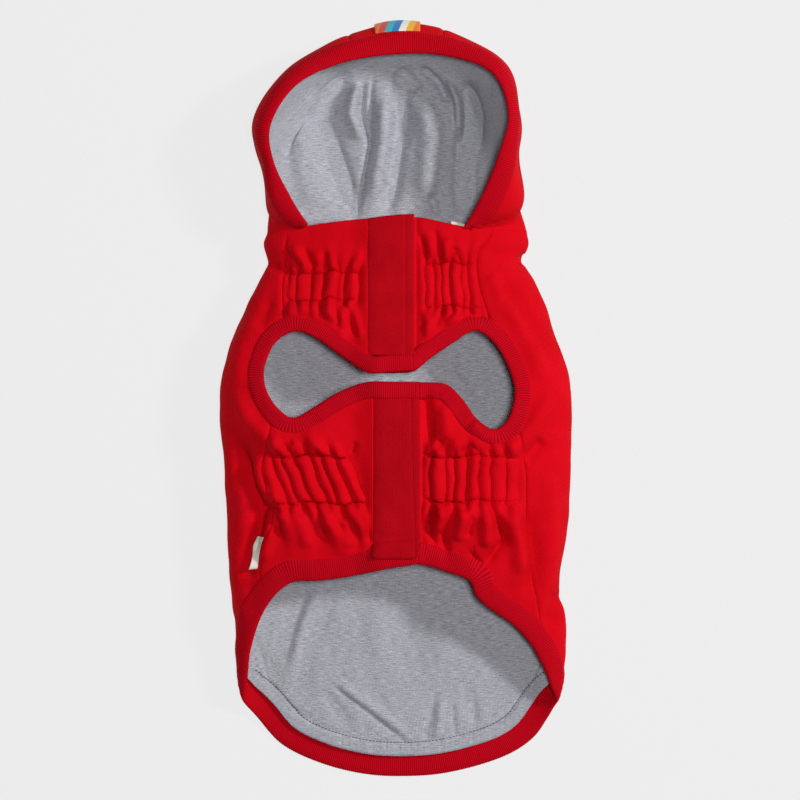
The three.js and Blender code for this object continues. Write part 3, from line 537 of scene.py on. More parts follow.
@dataclass(frozen=True)
class Gathers:
    """The tucks that a strip of elastic draws up in a half band."""

    tucks: tuple[float, ...]
    top: float
    bottom: float
    lean: float
    depth: float
    seed: int
    pull: float = 3.2
    puff: float = 1.6
    groove: float = 0.7
    pinch_width: float = 1.2
    held_width: float = 1.8
    drawn_width: float = 7.0

    def wander(self, x: Array) -> Array:
        """How far the elastic's edges wander along the body, at x in millimetres."""
        return 0.8 * np.sin(x / 5.3 + self.seed) + 0.4 * np.sin(x / 2.4)

    def height(self, point: Array) -> Array:
        """How far the tucks lift the cloth.

        Args:
            point: Points of the plain surface, in millimetres.

        Returns:
            Height above the plain surface in millimetres.
        """
        chance = np.random.default_rng(self.seed)
        x = point[..., 0]
        down = self.wander(x) - point[..., 1]
        middle = (self.top + self.bottom) / 2
        spacing = abs(self.tucks[-1] - self.tucks[0]) / (len(self.tucks) - 1)
        above, below = np.maximum(self.top - down, 0), np.maximum(down - self.bottom, 0)
        away = above + below
        centres, sizes, flare = [], [], np.zeros(x.shape)
        for place in self.tucks:
            size, reach_up, reach_down = chance.uniform((0.45, 7, 11), (1.25, 15, 24))
            sway, wave = chance.uniform(-0.3, 0.3), chance.uniform(0, TURN)
            centre = place + self.lean * (down - middle) + sway * (below - above)
            centre = centre + 0.3 * np.sin(down / 3.7 + wave)
            fade = bell(above, reach_up) * bell(below, reach_down)
            flare += 1.3 * size * fade * bell(x - centre, spacing * (0.34 + 0.02 * away))
            centres.append(centre)
            sizes.append(size)
        first, last = centres[0] - spacing / 2, centres[-1] + spacing / 2
        # A big tuck takes more of the room between two centres than a small one.
        neighbours = zip(centres, centres[1:], sizes[1:], sizes)
        valleys = [first, *[(p * m + q * n) / (m + n) for p, q, m, n in neighbours], last]
        pleats = np.zeros(x.shape)
        bent = x + 0.5 * np.sin(down / 4.3 + x / 5.3) + 0.2 * np.sin(down / 2.1 - x / 3.1)
        for size, start, end in zip(sizes, valleys, valleys[1:]):
            share = np.clip((bent - start) / np.maximum(end - start, 0.5), 0, 1) ** chance.uniform(0.6, 1.6)
            pleats += size * (4 * share * (1 - share)) ** 0.7
        # Rounded pleats between the elastic's two seams open into flares beyond them.
        held = bell(away, self.held_width)
        ends = smooth((x - first) / spacing + 0.5) * smooth((last - x) / spacing + 0.5)
        broad_ends = smooth((x - first) / spacing / 3 + 0.6) * smooth((last - x) / spacing / 3 + 0.6)
        pinched = bell(down - self.top, self.pinch_width) + bell(down - self.bottom, self.pinch_width)
        # The elastic draws the whole band in, and the cloth puffs up beside it.
        beside = self.puff * bell(away - 9, self.drawn_width)
        drawn = (self.pull * bell(away, self.drawn_width) - beside) * broad_ends
        tucked = (held * pleats + (1 - held) * flare) * (1 - 0.5 * np.minimum(pinched, 1))
        leg = LEFT_LEG if self.tucks[0] < 0 else RIGHT_LEG
        # Nothing is gathered where a binding lies over the cloth.
        clear = smooth((np.minimum(leg.distance(point), HEM.distance(point) - 3.5) - 7) / 6)
        return ((self.depth * tucked - self.groove * pinched) * ends - drawn) * clear


def folds(*rows: tuple[float, ...]) -> tuple[Fold, ...]:
    """Makes folds from rows of a width, a depth, and the x and y of each point of the line."""
    return tuple(Fold(tuple(zip(row[2::2], row[3::2])), row[0], row[1]) for row in rows)


BELLY_FOLDS = folds(
    (3.0, -1.8, -70, -11, -58, -24), (3.0, -2.0, -59, -11, -49, -24), (2.6, -1.8, -45, -12, -40, -26),
    (2.6, -3.0, -81, -19, -74, -22, -65, -25), (3.2, 1.4, -65, -8, -53, -24), (2.2, -1.8, 15, -1, 20, -19),
    (2.2, -1.9, 24, 1, 28, -19), (2.4, -1.9, 37, -9, 35, -19), (2.6, 1.5, 31, -4, 32, -19),
    (3.0, -2.4, 82, -15, 75, -19), (2.2, -1.8, -40, -42, -35, -59), (2.2, -2.0, -33, -42, -25, -65),
    (2.0, -1.4, -49, -43, -46, -51), (2.4, 1.2, -28, -44, -21, -68), (2.2, -1.6, 21, -47, 18, -60),
    (2.2, -1.8, 28, -47, 24, -61), (2.0, -1.4, 37, -48, 32, -56), (2.4, -1.6, -60, -51, -46, -53, -32, -63),
    (2.4, -1.6, 34, -53, 46, -51, 59, -54), (5.0, -2.0, 63, -25, 79, -50, 90, -74),
    (6.0, 2.4, 68, -42, 84, -71, 93, -96), (4.0, 1.5, 57, -27, 68, -42),
    (6.0, 1.8, -84, -49, -96, -71, -100, -96), (4.0, -1.4, -78, -42, -86, -61),
    (5.0, 2.2, -100, -98, -92, -117, -70, -136),
    (5.5, -6.5, -100, -128, -91, -156, -85, -172, -87, -186, -91, -202, -93, -218),
    (4.5, 3.2, -87, -141, -85, -158, -71, -170), (2.4, -2.8, -84, -172, -69, -173),
    (4.0, 2.4, -76, -178, -81, -192, -83, -205), (3.0, -2.0, -70, -177, -75, -189),
    (2.6, -2.2, -49, -172, -44, -190), (2.6, -1.8, -40, -175, -33, -186), (4.5, 2.0, -60, -175, -54, -196),
    (3.6, 1.6, -32, -177, -28, -196), (2.2, -2.2, -21, -166, -19, -180, -16, -194),
    (2.6, -1.8, -70, -135, -63, -130), (2.2, -1.6, -28, -138, -25, -130), (2.0, -1.4, -60, -139, -63, -134),
    (3.4, -3.6, 19, -102, 20, -118, 22, -136), (4.2, 2.2, 30, -108, 31, -130),
    (2.0, -1.6, 25, -136, 28, -129), (3.0, -2.8, 39, -138, 49, -132), (5.0, 2.4, 46, -118, 57, -130),
    (5.0, 3.2, 65, -142, 84, -121, 97, -100), (4.0, -3.0, 80, -142, 92, -129),
    (2.4, -1.8, 52, -138, 60, -132), (2.4, -3.2, 22, -169, 20, -185, 25, -195),
    (2.6, -3.6, 34, -172, 29, -188, 32, -201), (2.4, -2.8, 47, -175, 44, -190),
    (3.0, -3.4, 60, -171, 67, -191, 54, -209), (2.2, -2.2, 45, -198, 54, -209),
    (2.6, 1.8, 27, -171, 25, -186), (3.2, 2.6, 40, -172, 38, -192), (3.8, 3.0, 54, -174, 56, -196),
    (5.0, 3.2, 69, -172, 77, -196, 77, -214), (5.0, -2.8, 80, -171, 86, -205, 84, -230),
    (6.0, 1.6, -98, -205, -96, -242), (6.0, 1.8, 95, -149, 97, -192, 94, -224),
    (4.0, -2.2, 101, -224, 95, -246),
)
LINING_FOLDS = folds(
    (4.0, -3.0, -60, -218, -66, -242, -75, -271, -78, -284),
    (4.2, -2.4, -33, -220, -47, -239, -56, -262, -60, -282), (4.0, 2.0, -46, -219, -58, -246, -66, -274),
    (1.2, -1.5, -41, -284, -15, -304, 7, -321), (2.6, 1.3, -39, -282, -12, -301, 10, -318),
    (3.0, -1.3, -45, -289, -31, -309), (1.5, -1.6, 24, -292, 18, -319), (2.6, 1.4, 29, -294, 25, -319),
    (1.5, -1.2, 35, -296, 37, -317), (3.4, -0.8, 45, -286, 50, -311),
    (1.8, -1.3, -81, -275, -78, -288, -66, -300, -51, -306), (9.0, 1.0, -10, -230, -15, -268),
    (11.0, 1.2, 27, -236, 35, -274), (9.0, -0.8, 9, -236, 10, -280),
    (7.0, -1.5, 65, -224, 77, -255, 85, -280), (3.0, -1.2, -60, -71, -58, -105),
    (3.0, -1.0, -70, -74, -73, -100), (4.0, 1.0, -49, -79, -46, -102), (1.6, -1.4, 19, -88, 26, -95),
    (5.0, 1.2, 37, -80, 59, -111), (4.0, -1.1, 27, -77, 46, -102),
)
HOOD_FOLDS = folds(
    (7.0, -5.5, -30, 106, -43, 89, -46, 69, -37, 42, -27, 10), (11.0, 3.0, -59, 76, -60, 45, -53, 14),
    (4.0, 4.5, -25, 96, -29, 75, -22, 58), (2.4, -3.4, -21, 98, -22, 76, -16, 58),
    (5.5, 4.5, -8, 89, -8, 58, -15, 20), (5.0, -5.0, 2, 104, 4, 73, 0, 46, -6, 11),
    (5.5, -3.5, 1, 106, 15, 90), (8.0, 5.0, 17, 86, 22, 58, 17, 20), (3.4, -4.0, 15, 108, 28, 95, 34, 82),
    (3.8, 5.5, 32, 100, 39, 82, 39, 58), (7.0, -7.0, 45, 99, 49, 75, 44, 42, 44, 11),
    (2.6, -2.2, 22, 26, 26, 11), (1.5, -2.6, -15, 100, -16, 76, -17, 54, -21, 32, -25, 9),
    (1.5, -2.4, 31, 105, 36, 82, 39, 51, 38, 11),
)

NECK_LEFT = Gathers((-64.5, -57.7, -49.6, -41.0, -34.5, -27.5), 25.0, 42.0, -0.06, 4.1, 3)
NECK_RIGHT = Gathers((14.5, 20.3, 25.6, 31.5, 37.0, 42.5, 48.5, 55.0), 20.0, 46.5, 0.05, 4.0, 8)
CHEST_LEFT = Gathers((-78.0, -69.5, -61.0, -53.0, -45.0, -37.0, -28.5), 139.5, 168.5, 0.42, 4.8, 5)
CHEST_RIGHT = Gathers((19.5, 26.6, 33.4, 39.8, 47.0, 54.0, 62.5, 72.5), 140.0, 167.5, -0.02, 4.6, 11)


def folds_height(lines: Sequence[Fold], points: Array) -> Array:
    """Sum of the heights of some folds at points."""
    return sum((fold.height(points[..., 0], points[..., 1]) for fold in lines), np.zeros(points.shape[:-1]))


def crumple(points: Array, size: float, seed: int) -> Array:
    """Gentle unevenness of soft cloth.

    Args:
        points: Points of the plain surface.
        size: Size of the lumps in millimetres.
        seed: Seed of their random directions.

    Returns:
        A height of about -1 to 1 at each point.
    """
    chance = np.random.default_rng(seed)
    total = np.zeros(points.shape[:-1])
    for _ in range(7):
        way = unit(chance.normal(size=3))
        phase, stretch = chance.uniform(0, TURN), chance.uniform(0.6, 1.5)
        total += np.sin(points @ way * TURN / (size * stretch) + phase)
    return total / 4


def body_relief(a: Array, b: Array) -> Array:
    """Folds and unevenness of the body's cloth, nothing on the floor side and beside the hood.

    Args:
        a: Angles round the body.
        b: Shares along it.

    Returns:
        How far the cloth stands proud of its plain surface, in millimetres.
    """
    turn = np.abs(np.mod(a + 180.0, 360.0) - 180.0)
    points = BODY.point(a, b)
    uneven = 0.5 * crumple(points, 34, 2), 0.22 * crumple(points, 13, 4)
    relief = 1.4 * folds_height(BELLY_FOLDS, points) + uneven[0] + uneven[1]
    beside_hood = smooth((np.abs(points[..., 0] + 6) - 48) / 8)
    return relief * smooth((turn - 78) / 12) * (1 - beside_hood * (1 - smooth(b / 0.035)))


def hood_relief(a: Array, b: Array) -> Array:
    """Unevenness of the hood's cloth, nothing at its rim and where it lies on the floor.

    Args:
        a: Places round the rim.
        b: Shares of the way to it.

    Returns:
        Height in millimetres.
    """
    points = HOOD.point(a, b)
    off_floor = 0.7 * crumple(points, 30, 6) * smooth(points[..., 2] / 10)
    return off_floor * smooth((1 - b) / 0.2) * smooth(b / 0.08)


class Band(Enum):
    """The bands that close over the belly."""

    NECK = "neck"
    CHEST = "chest"


@dataclass(frozen=True)
class Closing:
    """A flap that closes a belly band, and how far it reaches."""

    band: Band
    left: float
    top: float
    bottom: float
    width: float = 30.0
    lift: float = 4.2
    step: float = 8.0
    approach: float = 11.0

    @property
    def at_neck(self) -> bool:
        """Whether it closes the neck band."""
        return self.band is Band.NECK

    def raised(self, x: Array) -> Array:
        """How far the cloth is lifted towards and over the other half band, at x in millimetres."""
        beyond = x - self.left * BODY.half_width + self.approach
        return self.lift * smooth(beyond / (self.step + self.approach))


NECK_CLOSING = Closing(Band.NECK, -0.172, -0.022, 0.2545)
CHEST_CLOSING = Closing(Band.CHEST, -0.14, 0.275, 0.603)


def grid_normals(grid: Array, outward: Array) -> Array:
    """Normals of a grid of points, on the side of other vectors."""
    facing = unit(np.cross(np.gradient(grid, axis=1), np.gradient(grid, axis=0)))
    return facing * np.where((facing * outward).sum(-1, keepdims=True) < 0, -1.0, 1.0)


def unit_grid(columns: int, rows: int) -> Grid:
    """A grid's places across and along, each from 0 to 1."""
    return tuple(np.meshgrid(np.linspace(0, 1, columns + 1), np.linspace(0, 1, rows + 1)))


def hood_grid(start: float, end: float, columns: int, rows: int, reach: float) -> Grid:
    """A grid of the hood's surface, from the neck seam up to a distance from the rim.

    Args:
        start: First place round the rim.
        end: Last place round the rim.
        columns: Cells across.
        rows: Cells along.
        reach: Distance from the rim at which it ends, in millimetres.

    Returns:
        Coordinates a and b of the grid.
    """
    a, j = np.meshgrid(np.linspace(start, end, columns + 1), np.linspace(0, 1, rows + 1))
    return a, j * HOOD.strip(a[0], np.full(columns + 1, reach))


def side_distances(grid: Array) -> list[Array]:
    """Measures a grid of points from its four sides.

    Args:
        grid: The points, row by row.

    Returns:
        Distance of each point from the left, right, top and bottom side, in millimetres.
    """
    across = np.linalg.norm(np.diff(grid, axis=1), axis=2)
    along = np.linalg.norm(np.diff(grid, axis=0), axis=2)
    left = np.concatenate([np.zeros((grid.shape[0], 1)), np.cumsum(across, axis=1)], axis=1)
    top = np.concatenate([np.zeros((1, grid.shape[1])), np.cumsum(along, axis=0)], axis=0)
    return [left, left[:, -1:] - left, top, top[-1:, :] - top]


@dataclass
class Sheet:
    """A sheet of cloth over a grid of a surface, made a closed solid of its real thickness.

    Its low and high are the heights of its faces over the surface. Relief lifts it, keep says which cells are
    there, turned is the radius of each rounded side, and relaxed counts the rounds of smoothing.
    """

    name: str
    surface: Surface
    a: Array
    b: Array
    low: float
    high: float
    relief: Array
    keep: Array | None = None
    turned: tuple[float, float, float, float] = (0, 0, 0, 0)
    relaxed: int = 0
    thinnest: float = 0.0016

    def build(self) -> bpy.types.Object:
        """Makes the sheet's mesh object, with a UV map in metres.

        Returns:
            The new object, at the origin, with its place in its mesh.
        """
        point, normal, _, _ = frame_at(self.surface, self.a, self.b)
        sides = side_distances(point)
        thin = np.ones(point.shape[:2])
        for distance, radius in zip(sides, self.turned):
            if radius:
                held = np.clip(distance / radius, 0, 1)
                thin = thin * np.sqrt(np.maximum(1 - (1 - held) ** 2, self.thinnest))
        middle = point + normal * ((self.low + self.high) / 2)
        for _ in range(self.relaxed):
            around = middle[:-2, 1:-1] + middle[2:, 1:-1] + middle[1:-1, :-2] + middle[1:-1, 2:]
            middle[1:-1, 1:-1] = 0.5 * middle[1:-1, 1:-1] + 0.125 * around
        middle = middle + grid_normals(middle, normal) * self.relief[..., None]
        facing = grid_normals(middle, normal)
        half = ((self.high - self.low) / 2 * thin)[..., None]
        layers = [middle + facing * half * sign for sign in (1, -1)]
        uv = np.stack([sides[0] - sides[0].mean(), -sides[2]], axis=-1) * METRE
        return self._object(layers, uv)

    def _object(self, layers: list[Array], uv: Array) -> bpy.types.Object:
        """Joins the two layers with walls round every open border.

        Args:
            layers: Grids of points of the upper and the lower face.
            uv: UV coordinates of the grid.

        Returns:
            The mesh object.
        """
        rows, columns = uv.shape[:2]
        count = rows * columns
        number = np.arange(count).reshape(rows, columns)
        keep = np.ones((rows - 1, columns - 1), bool) if self.keep is None else self.keep
        corners = [number[:-1, :-1], number[1:, :-1], number[1:, 1:], number[:-1, 1:]]
        upper = np.stack([c[keep] for c in corners], axis=1)
        quads = [upper, upper[:, ::-1] + count]
        padded = np.pad(keep, 1)
        for shift, first, second in (
            ((0, -1), corners[0], corners[1]), ((1, 0), corners[1], corners[2]),
            ((0, 1), corners[2], corners[3]), ((-1, 0), corners[3], corners[0]),
        ):
            beyond = padded[1 + shift[0]:rows + shift[0], 1 + shift[1]:columns + shift[1]]
            edge = keep & ~beyond
            p, q = first[edge], second[edge]
            quads.append(np.stack([q, p, p + count, q + count], axis=1))
        points = (np.concatenate([layer.reshape(-1, 3) for layer in layers]) + ORIGIN_SHIFT) * METRE
        both = np.concatenate([uv.reshape(-1, 2)] * 2)
        return mesh_object(self.name, points, np.concatenate(quads), both)


def mesh_object(name: str, points: Array, quads: Array, uv: Array | None = None,
                values: dict[str, Array] | None = None) -> bpy.types.Object:
    """Makes a smooth-shaded mesh object with its faces turned outwards.

    Args:
        name: Name of the object.
        points: Vertices in metres.
        quads: Four vertex numbers for each face.
        uv: UV coordinates of each vertex.
        values: Named numbers to store on the vertices.

    Returns:
        The object, linked to the scene.
    """
    used, renumbered = np.unique(quads, return_inverse=True)
    quads = renumbered.reshape(quads.shape)
    points = points[used]
    corner = points[quads]
    volume = (corner[:, 0] * np.cross(corner[:, 1] + corner[:, 2], corner[:, 2] + corner[:, 3])).sum()
    if volume < 0:
        quads = quads[:, ::-1]
    mesh = bpy.data.meshes.new(name)
    mesh.from_pydata(points.tolist(), [], quads.tolist())
    if uv is not None:
        layer = mesh.uv_layers.new(name="UVMap")
        layer.data.foreach_set("uv", uv[used][quads.ravel()].ravel())
    for key, numbers in (values or {}).items():
        mesh.attributes.new(key, "FLOAT", "POINT").data.foreach_set("value", numbers[used].astype(np.float32))
    mesh.shade_smooth()
    mesh.update()
    made = bpy.data.objects.new(name, mesh)
    bpy.context.scene.collection.objects.link(made)
    return made


def kept_cells(corners: Array) -> Array:
    """Cells of a grid whose four corners are all kept."""
    return corners[:-1, :-1] & corners[1:, :-1] & corners[1:, 1:] & corners[:-1, 1:]


def outside_bindings(points: Array, leg_reach: float, hem_reach: float) -> Array:
    """Corners of a body sheet that lie outside the bound edges.

    Args:
        points: Grid of points of the body.
        leg_reach: How far from a leg opening's edge the sheet ends, in millimetres.
        hem_reach: How far from the hem's edge it ends.

    Returns:
        True where the sheet is kept.
    """
    belly_height = 25
    keep = HEM.distance(points) > hem_reach
    belly = points[..., 2] > belly_height
    for leg in (LEFT_LEG, RIGHT_LEG):
        keep &= (leg.distance(points) > leg_reach) & ~(leg.encloses(points) & belly)
    return keep


def linear(colour: str) -> tuple[float, float, float, float]:
    """Turns an sRGB colour such as #C0102A into linear values."""
    parts = [int(colour[k:k + 2], 16) / 255 for k in (1, 3, 5)]
    return (*(p / 12.92 if p <= 0.04045 else ((p + 0.055) / 1.055) ** 2.4 for p in parts), 1.0)


def add(tree: bpy.types.NodeTree, kind: str, settings: dict[str, object] | None = None,
        inputs: dict[str | int, object] | None = None) -> bpy.types.Node:
    """Adds a node to a tree.

    Args:
        tree: The tree.
        kind: The node's type name.
        settings: Properties to set on the node; stops are the places and colours of a colour ramp.
        inputs: For each input its value, the socket that is linked to it, or a node whose first output is.

    Returns:
        The node.
    """
    node = tree.nodes.new(kind)
    for key, value in (settings or {}).items():
        if key == "stops":
            elements = node.color_ramp.elements
            while len(elements) < len(value):
                elements.new(0.99)
            for element, (place, colour) in zip(elements, value):
                element.position, element.color = place, linear(colour)
        else:
            setattr(node, key, value)
    for key, value in (inputs or {}).items():
        source = value.outputs[0] if isinstance(value, bpy.types.Node) else value
        if isinstance(source, bpy.types.NodeSocket):
            tree.links.new(source, node.inputs[key])
        else:
            node.inputs[key].default_value = source
    return node


def threads(tree: bpy.types.NodeTree, across: float, along: float) -> bpy.types.Node:
    """UV coordinates counted in threads.

    Args:
        tree: The material's tree.
        across: Spacing of the threads across, in metres.
        along: Spacing along.

    Returns:
        The node whose output is the scaled coordinates.
    """
    uv = add(tree, "ShaderNodeUVMap", {"uv_map": "UVMap"})
    scale = (1 / across, 1 / along, 1)
    return add(tree, "ShaderNodeVectorMath", {"operation": "MULTIPLY"}, {0: uv, 1: scale})


@dataclass(frozen=True)
class Finish:
    """A finish of the coat, which becomes a named material."""

    name: str

    def shader(self, tree: bpy.types.NodeTree) -> dict[str, object]:
        """Adds the finish's own nodes to its material's tree and returns the inputs of its shader."""
        raise NotImplementedError

    def material(self) -> bpy.types.Material:
        """Builds the material.

        Returns:
            A material with the finish's name.
        """
        material = bpy.data.materials.new(self.name)
        material.use_nodes = True
        tree = material.node_tree
        tree.nodes.clear()
        face = add(tree, "ShaderNodeBsdfPrincipled", inputs=self.shader(tree))
        add(tree, "ShaderNodeOutputMaterial", inputs={"Surface": face})
        return material


@dataclass(frozen=True)
class KnitFace(Finish):
    """A smooth or brushed knitted face: colour with faint heather, a knit relief and a soft sheen.

    Its loops are drawn about twice as coarse as a fine jersey's, so that they show.
    """

    deep: str
    base: str
    bright: str
    fuzz: float = 0.00012
    heather: float = 0.25
    sheen: float = 0.06
    wale: float = 0.0011
    course: float = 0.0014
    relief: float = 0.00004
    cloud: float = 0.022
    cloudiness: float = 0.3
    fibre: float = 0.00067
    roughness: float = 0.86

    def shader(self, tree: bpy.types.NodeTree) -> dict[str, object]:
        """Heathered colour, loops in relief and a fibrous surface.

        Args:
            tree: The material's tree.

        Returns:
            The inputs of its shader.
        """
        place = add(tree, "ShaderNodeTexCoord").outputs["Object"]
        cloudy, specks = (
            add(tree, "ShaderNodeTexNoise", inputs={"Vector": place, "Scale": 1 / size, "Detail": detail})
            for size, detail in ((self.cloud, 3.0), (self.fibre, 2.0))
        )
        shade = 0.5 - (self.heather + self.cloudiness) / 2
        for noise, weight in ((specks, self.heather), (cloudy, self.cloudiness)):
            terms = {0: noise, 1: weight, 2: shade}
            shade = add(tree, "ShaderNodeMath", {"operation": "MULTIPLY_ADD"}, terms)
        stops = (0.3, self.deep), (0.5, self.base), (0.7, self.bright)
        colour = add(tree, "ShaderNodeValToRGB", {"stops": stops}, {0: shade})
        turns = threads(tree, self.wale / TURN, self.course / TURN)
        loop = add(tree, "ShaderNodeSeparateXYZ", inputs={0: turns})
        wales = add(tree, "ShaderNodeMath", {"operation": "SINE"}, {0: loop.outputs["X"]})
        bend = add(tree, "ShaderNodeMath", {"operation": "ABSOLUTE"}, {0: wales})
        slant = add(tree, "ShaderNodeMath", {"operation": "ADD"}, {0: loop.outputs["Y"], 1: bend})
        courses = add(tree, "ShaderNodeMath", {"operation": "SINE"}, {0: slant})
        loops = add(tree, "ShaderNodeMath", {"operation": "MULTIPLY_ADD"}, {0: courses, 1: 0.5, 2: wales})
        knit = add(tree, "ShaderNodeBump", inputs={"Height": loops, "Distance": self.relief, "Strength": 0.8})
        brushed = add(tree, "ShaderNodeBump", inputs={
            "Height": specks, "Distance": self.fuzz, "Strength": 0.9, "Normal": knit,
        })
        return {
            "Base Color": colour, "Roughness": self.roughness, "Normal": brushed, "Specular IOR Level": 0.08,
            "Sheen Weight": self.sheen, "Sheen Roughness": 0.45, "Sheen Tint": linear(self.bright),
        }


@dataclass(frozen=True)
class MarlJersey(Finish):
    """Marl jersey: light and dark fibres that run across the cloth in short streaks, over fine loops."""

    dark: str = "#8C8E99"
    base: str = "#ABACB4"
    light: str = "#C8C9CF"
    streak: tuple[float, float] = (0.005, 0.0005)
    flecks: float = 0.45
    wale: float = 0.0009
    course: float = 0.00117
    relief: float = 0.0001

    def shader(self, tree: bpy.types.NodeTree) -> dict[str, object]:
        """Streaked colour and loops in relief.

        Args:
            tree: The material's tree.

        Returns:
            The inputs of its shader.
        """
        length, width = self.streak
        streaks = add(tree, "ShaderNodeTexNoise", inputs={
            "Vector": threads(tree, length, width), "Scale": 1.0, "Detail": 2.0,
        })
        flecks = add(tree, "ShaderNodeTexNoise", inputs={
            "Vector": threads(tree, length / 5, width * 1.4), "Scale": 1.0, "Detail": 1.0,
        })
        mixed = {0: flecks, 1: self.flecks, 2: streaks}
        fibres = add(tree, "ShaderNodeMath", {"operation": "MULTIPLY_ADD"}, mixed)
        shade = add(tree, "ShaderNodeMath", {"operation": "SUBTRACT"}, {0: fibres, 1: self.flecks / 2})
        stops = (0.34, self.dark), (0.46, self.base), (0.54, self.base), (0.68, self.light)
        colour = add(tree, "ShaderNodeValToRGB", {"stops": stops}, {0: shade})
        turns = threads(tree, self.wale / TURN, self.course / TURN)
        loop = add(tree, "ShaderNodeSeparateXYZ", inputs={0: turns})
        wales = add(tree, "ShaderNodeMath", {"operation": "SINE"}, {0: loop.outputs["X"]})
        courses = add(tree, "ShaderNodeMath", {"operation": "SINE"}, {0: loop.outputs["Y"]})
        loops = add(tree, "ShaderNodeMath", {"operation": "MULTIPLY_ADD"}, {0: courses, 1: 0.4, 2: wales})
        bump = add(tree, "ShaderNodeBump", inputs={"Height": loops, "Distance": self.relief, "Strength": 0.7})
        return {
            "Base Color": colour, "Roughness": 0.9, "Normal": bump, "Specular IOR Level": 0.2,
            "Sheen Weight": 0.1, "Sheen Roughness": 0.5,
        }


@dataclass(frozen=True)
class RibKnit(Finish):
    """Ribbed knit with painted shade: the grooves between its wales are painted darker than their crowns."""

    # Painted shade: the grooves take this darker colour, and the crowns the lit one.
    groove: str = "#8E0010"
    crown: str = "#CC0018"
    fibre: float = 0.00077
    fuzz: float = 0.0002

    def shader(self, tree: bpy.types.NodeTree) -> dict[str, object]:
        """Colour by the wale's own number, with painted shade in the grooves, and a fibrous surface.

        Args:
            tree: The material's tree.

        Returns:
            The inputs of its shader.
        """
        wale = add(tree, "ShaderNodeAttribute", {"attribute_name": "wale"}).outputs["Fac"]
        turns = add(tree, "ShaderNodeMath", {"operation": "MULTIPLY"}, {0: wale, 1: TURN})
        wave = add(tree, "ShaderNodeMath", {"operation": "SINE"}, {0: turns})
        place = add(tree, "ShaderNodeTexCoord").outputs["Object"]
        specks = add(tree, "ShaderNodeTexNoise", inputs={
            "Vector": place, "Scale": 1 / self.fibre, "Detail": 2.0,
        })
        speckled = add(tree, "ShaderNodeMath", {"operation": "MULTIPLY_ADD"}, {0: specks, 1: 0.3, 2: 0.4})
        shade = add(tree, "ShaderNodeMath", {"operation": "MULTIPLY_ADD"}, {0: wave, 1: 0.35, 2: speckled})
        # Low in the wave of the wales is a groove, painted dark as shade; high is a crown, painted bright.
        stops = (0.15, self.groove), (0.7, self.crown)
        colour = add(tree, "ShaderNodeValToRGB", {"stops": stops}, {0: shade})
        bump = add(tree, "ShaderNodeBump", inputs={"Height": specks, "Distance": self.fuzz, "Strength": 0.8})
        return {
            "Base Color": colour, "Roughness": 0.86, "Normal": bump, "Specular IOR Level": 0.08,
            "Sheen Weight": 0.06, "Sheen Roughness": 0.45, "Sheen Tint": linear(self.crown),
        }


@dataclass(frozen=True)
class WovenTape(Finish):
    """Close-woven tape in one colour, as for labels, thread and hook and loop."""

    colour: str
    weave: float = 0.0006
    roughness: float = 0.75
    relief: float = 0.0001

    def shader(self, tree: bpy.types.NodeTree) -> dict[str, object]:
        """One colour with a plain weave in relief.

        Args:
            tree: The material's tree.

        Returns:
            The inputs of its shader.
        """
        place = add(tree, "ShaderNodeTexCoord").outputs["Object"]
        weave = add(tree, "ShaderNodeTexChecker", inputs={"Vector": place, "Scale": 1 / self.weave})
        bump = add(tree, "ShaderNodeBump", inputs={
            "Height": weave.outputs["Fac"], "Distance": self.relief, "Strength": 0.5,
        })
        return {
            "Base Color": linear(self.colour), "Roughness": self.roughness, "Normal": bump,
            "Specular IOR Level": 0.3,
        }


@dataclass(frozen=True)
class StripedRibbon(Finish):
    """Satin ribbon with slanted bars of several colours."""

    bars: tuple[str, ...] = ("#F3EFE6", "#F2B431", "#EE7B2C", "#D8443C", "#2FB3BE", "#2B7FC0")
    pitch: float = 0.026
    slant: float = 0.35
    weave: float = 0.0005
    relief: float = 0.00006

    def shader(self, tree: bpy.types.NodeTree) -> dict[str, object]:
        """Bars of even width, with a fine weave in relief.

        Args:
            tree: The material's tree.

        Returns:
            The inputs of its shader.
        """
        place = add(tree, "ShaderNodeSeparateXYZ", inputs={0: threads(tree, self.pitch, self.pitch)})
        leaning = add(tree, "ShaderNodeMath", {"operation": "MULTIPLY_ADD"}, {
            0: place.outputs["Y"], 1: self.slant, 2: place.outputs["X"],
        })
        run = add(tree, "ShaderNodeMath", {"operation": "FRACT"}, {0: leaning})
        stops = [(k / len(self.bars), colour) for k, colour in enumerate(self.bars)]
        colour = add(tree, "ShaderNodeValToRGB", {"stops": stops}, {0: run})
        colour.color_ramp.interpolation = "CONSTANT"
        weave = add(tree, "ShaderNodeTexChecker", inputs={
            "Vector": threads(tree, self.weave, self.weave), "Scale": 1.0,
        })
        bump = add(tree, "ShaderNodeBump", inputs={
            "Height": weave.outputs["Fac"], "Distance": self.relief, "Strength": 0.5,
        })
        return {"Base Color": colour, "Roughness": 0.5, "Normal": bump}


@dataclass(frozen=True)
class StudioPaper(Finish):
    """Matt paper of the studio's floor, which glows a little so that it takes only a faint shadow."""

    colour: str = "#4C4C4C"
    glow: str = "#EFEFEF"
    brightness: float = 0.9
    grain: float = 0.0011

    def shader(self, tree: bpy.types.NodeTree) -> dict[str, object]:
        """One pale colour with a fine grain.

        Args:
            tree: The material's tree.

        Returns:
            The inputs of its shader.
        """
        place = add(tree, "ShaderNodeTexCoord").outputs["Object"]
        grain = add(tree, "ShaderNodeTexNoise", inputs={"Vector": place, "Scale": 1 / self.grain})
        bump = add(tree, "ShaderNodeBump", inputs={"Height": grain, "Distance": 0.00002})
        return {
            "Base Color": linear(self.colour), "Roughness": 0.95, "Normal": bump, "Specular IOR Level": 0.0,
            "Emission Color": linear(self.glow), "Emission Strength": self.brightness,
        }


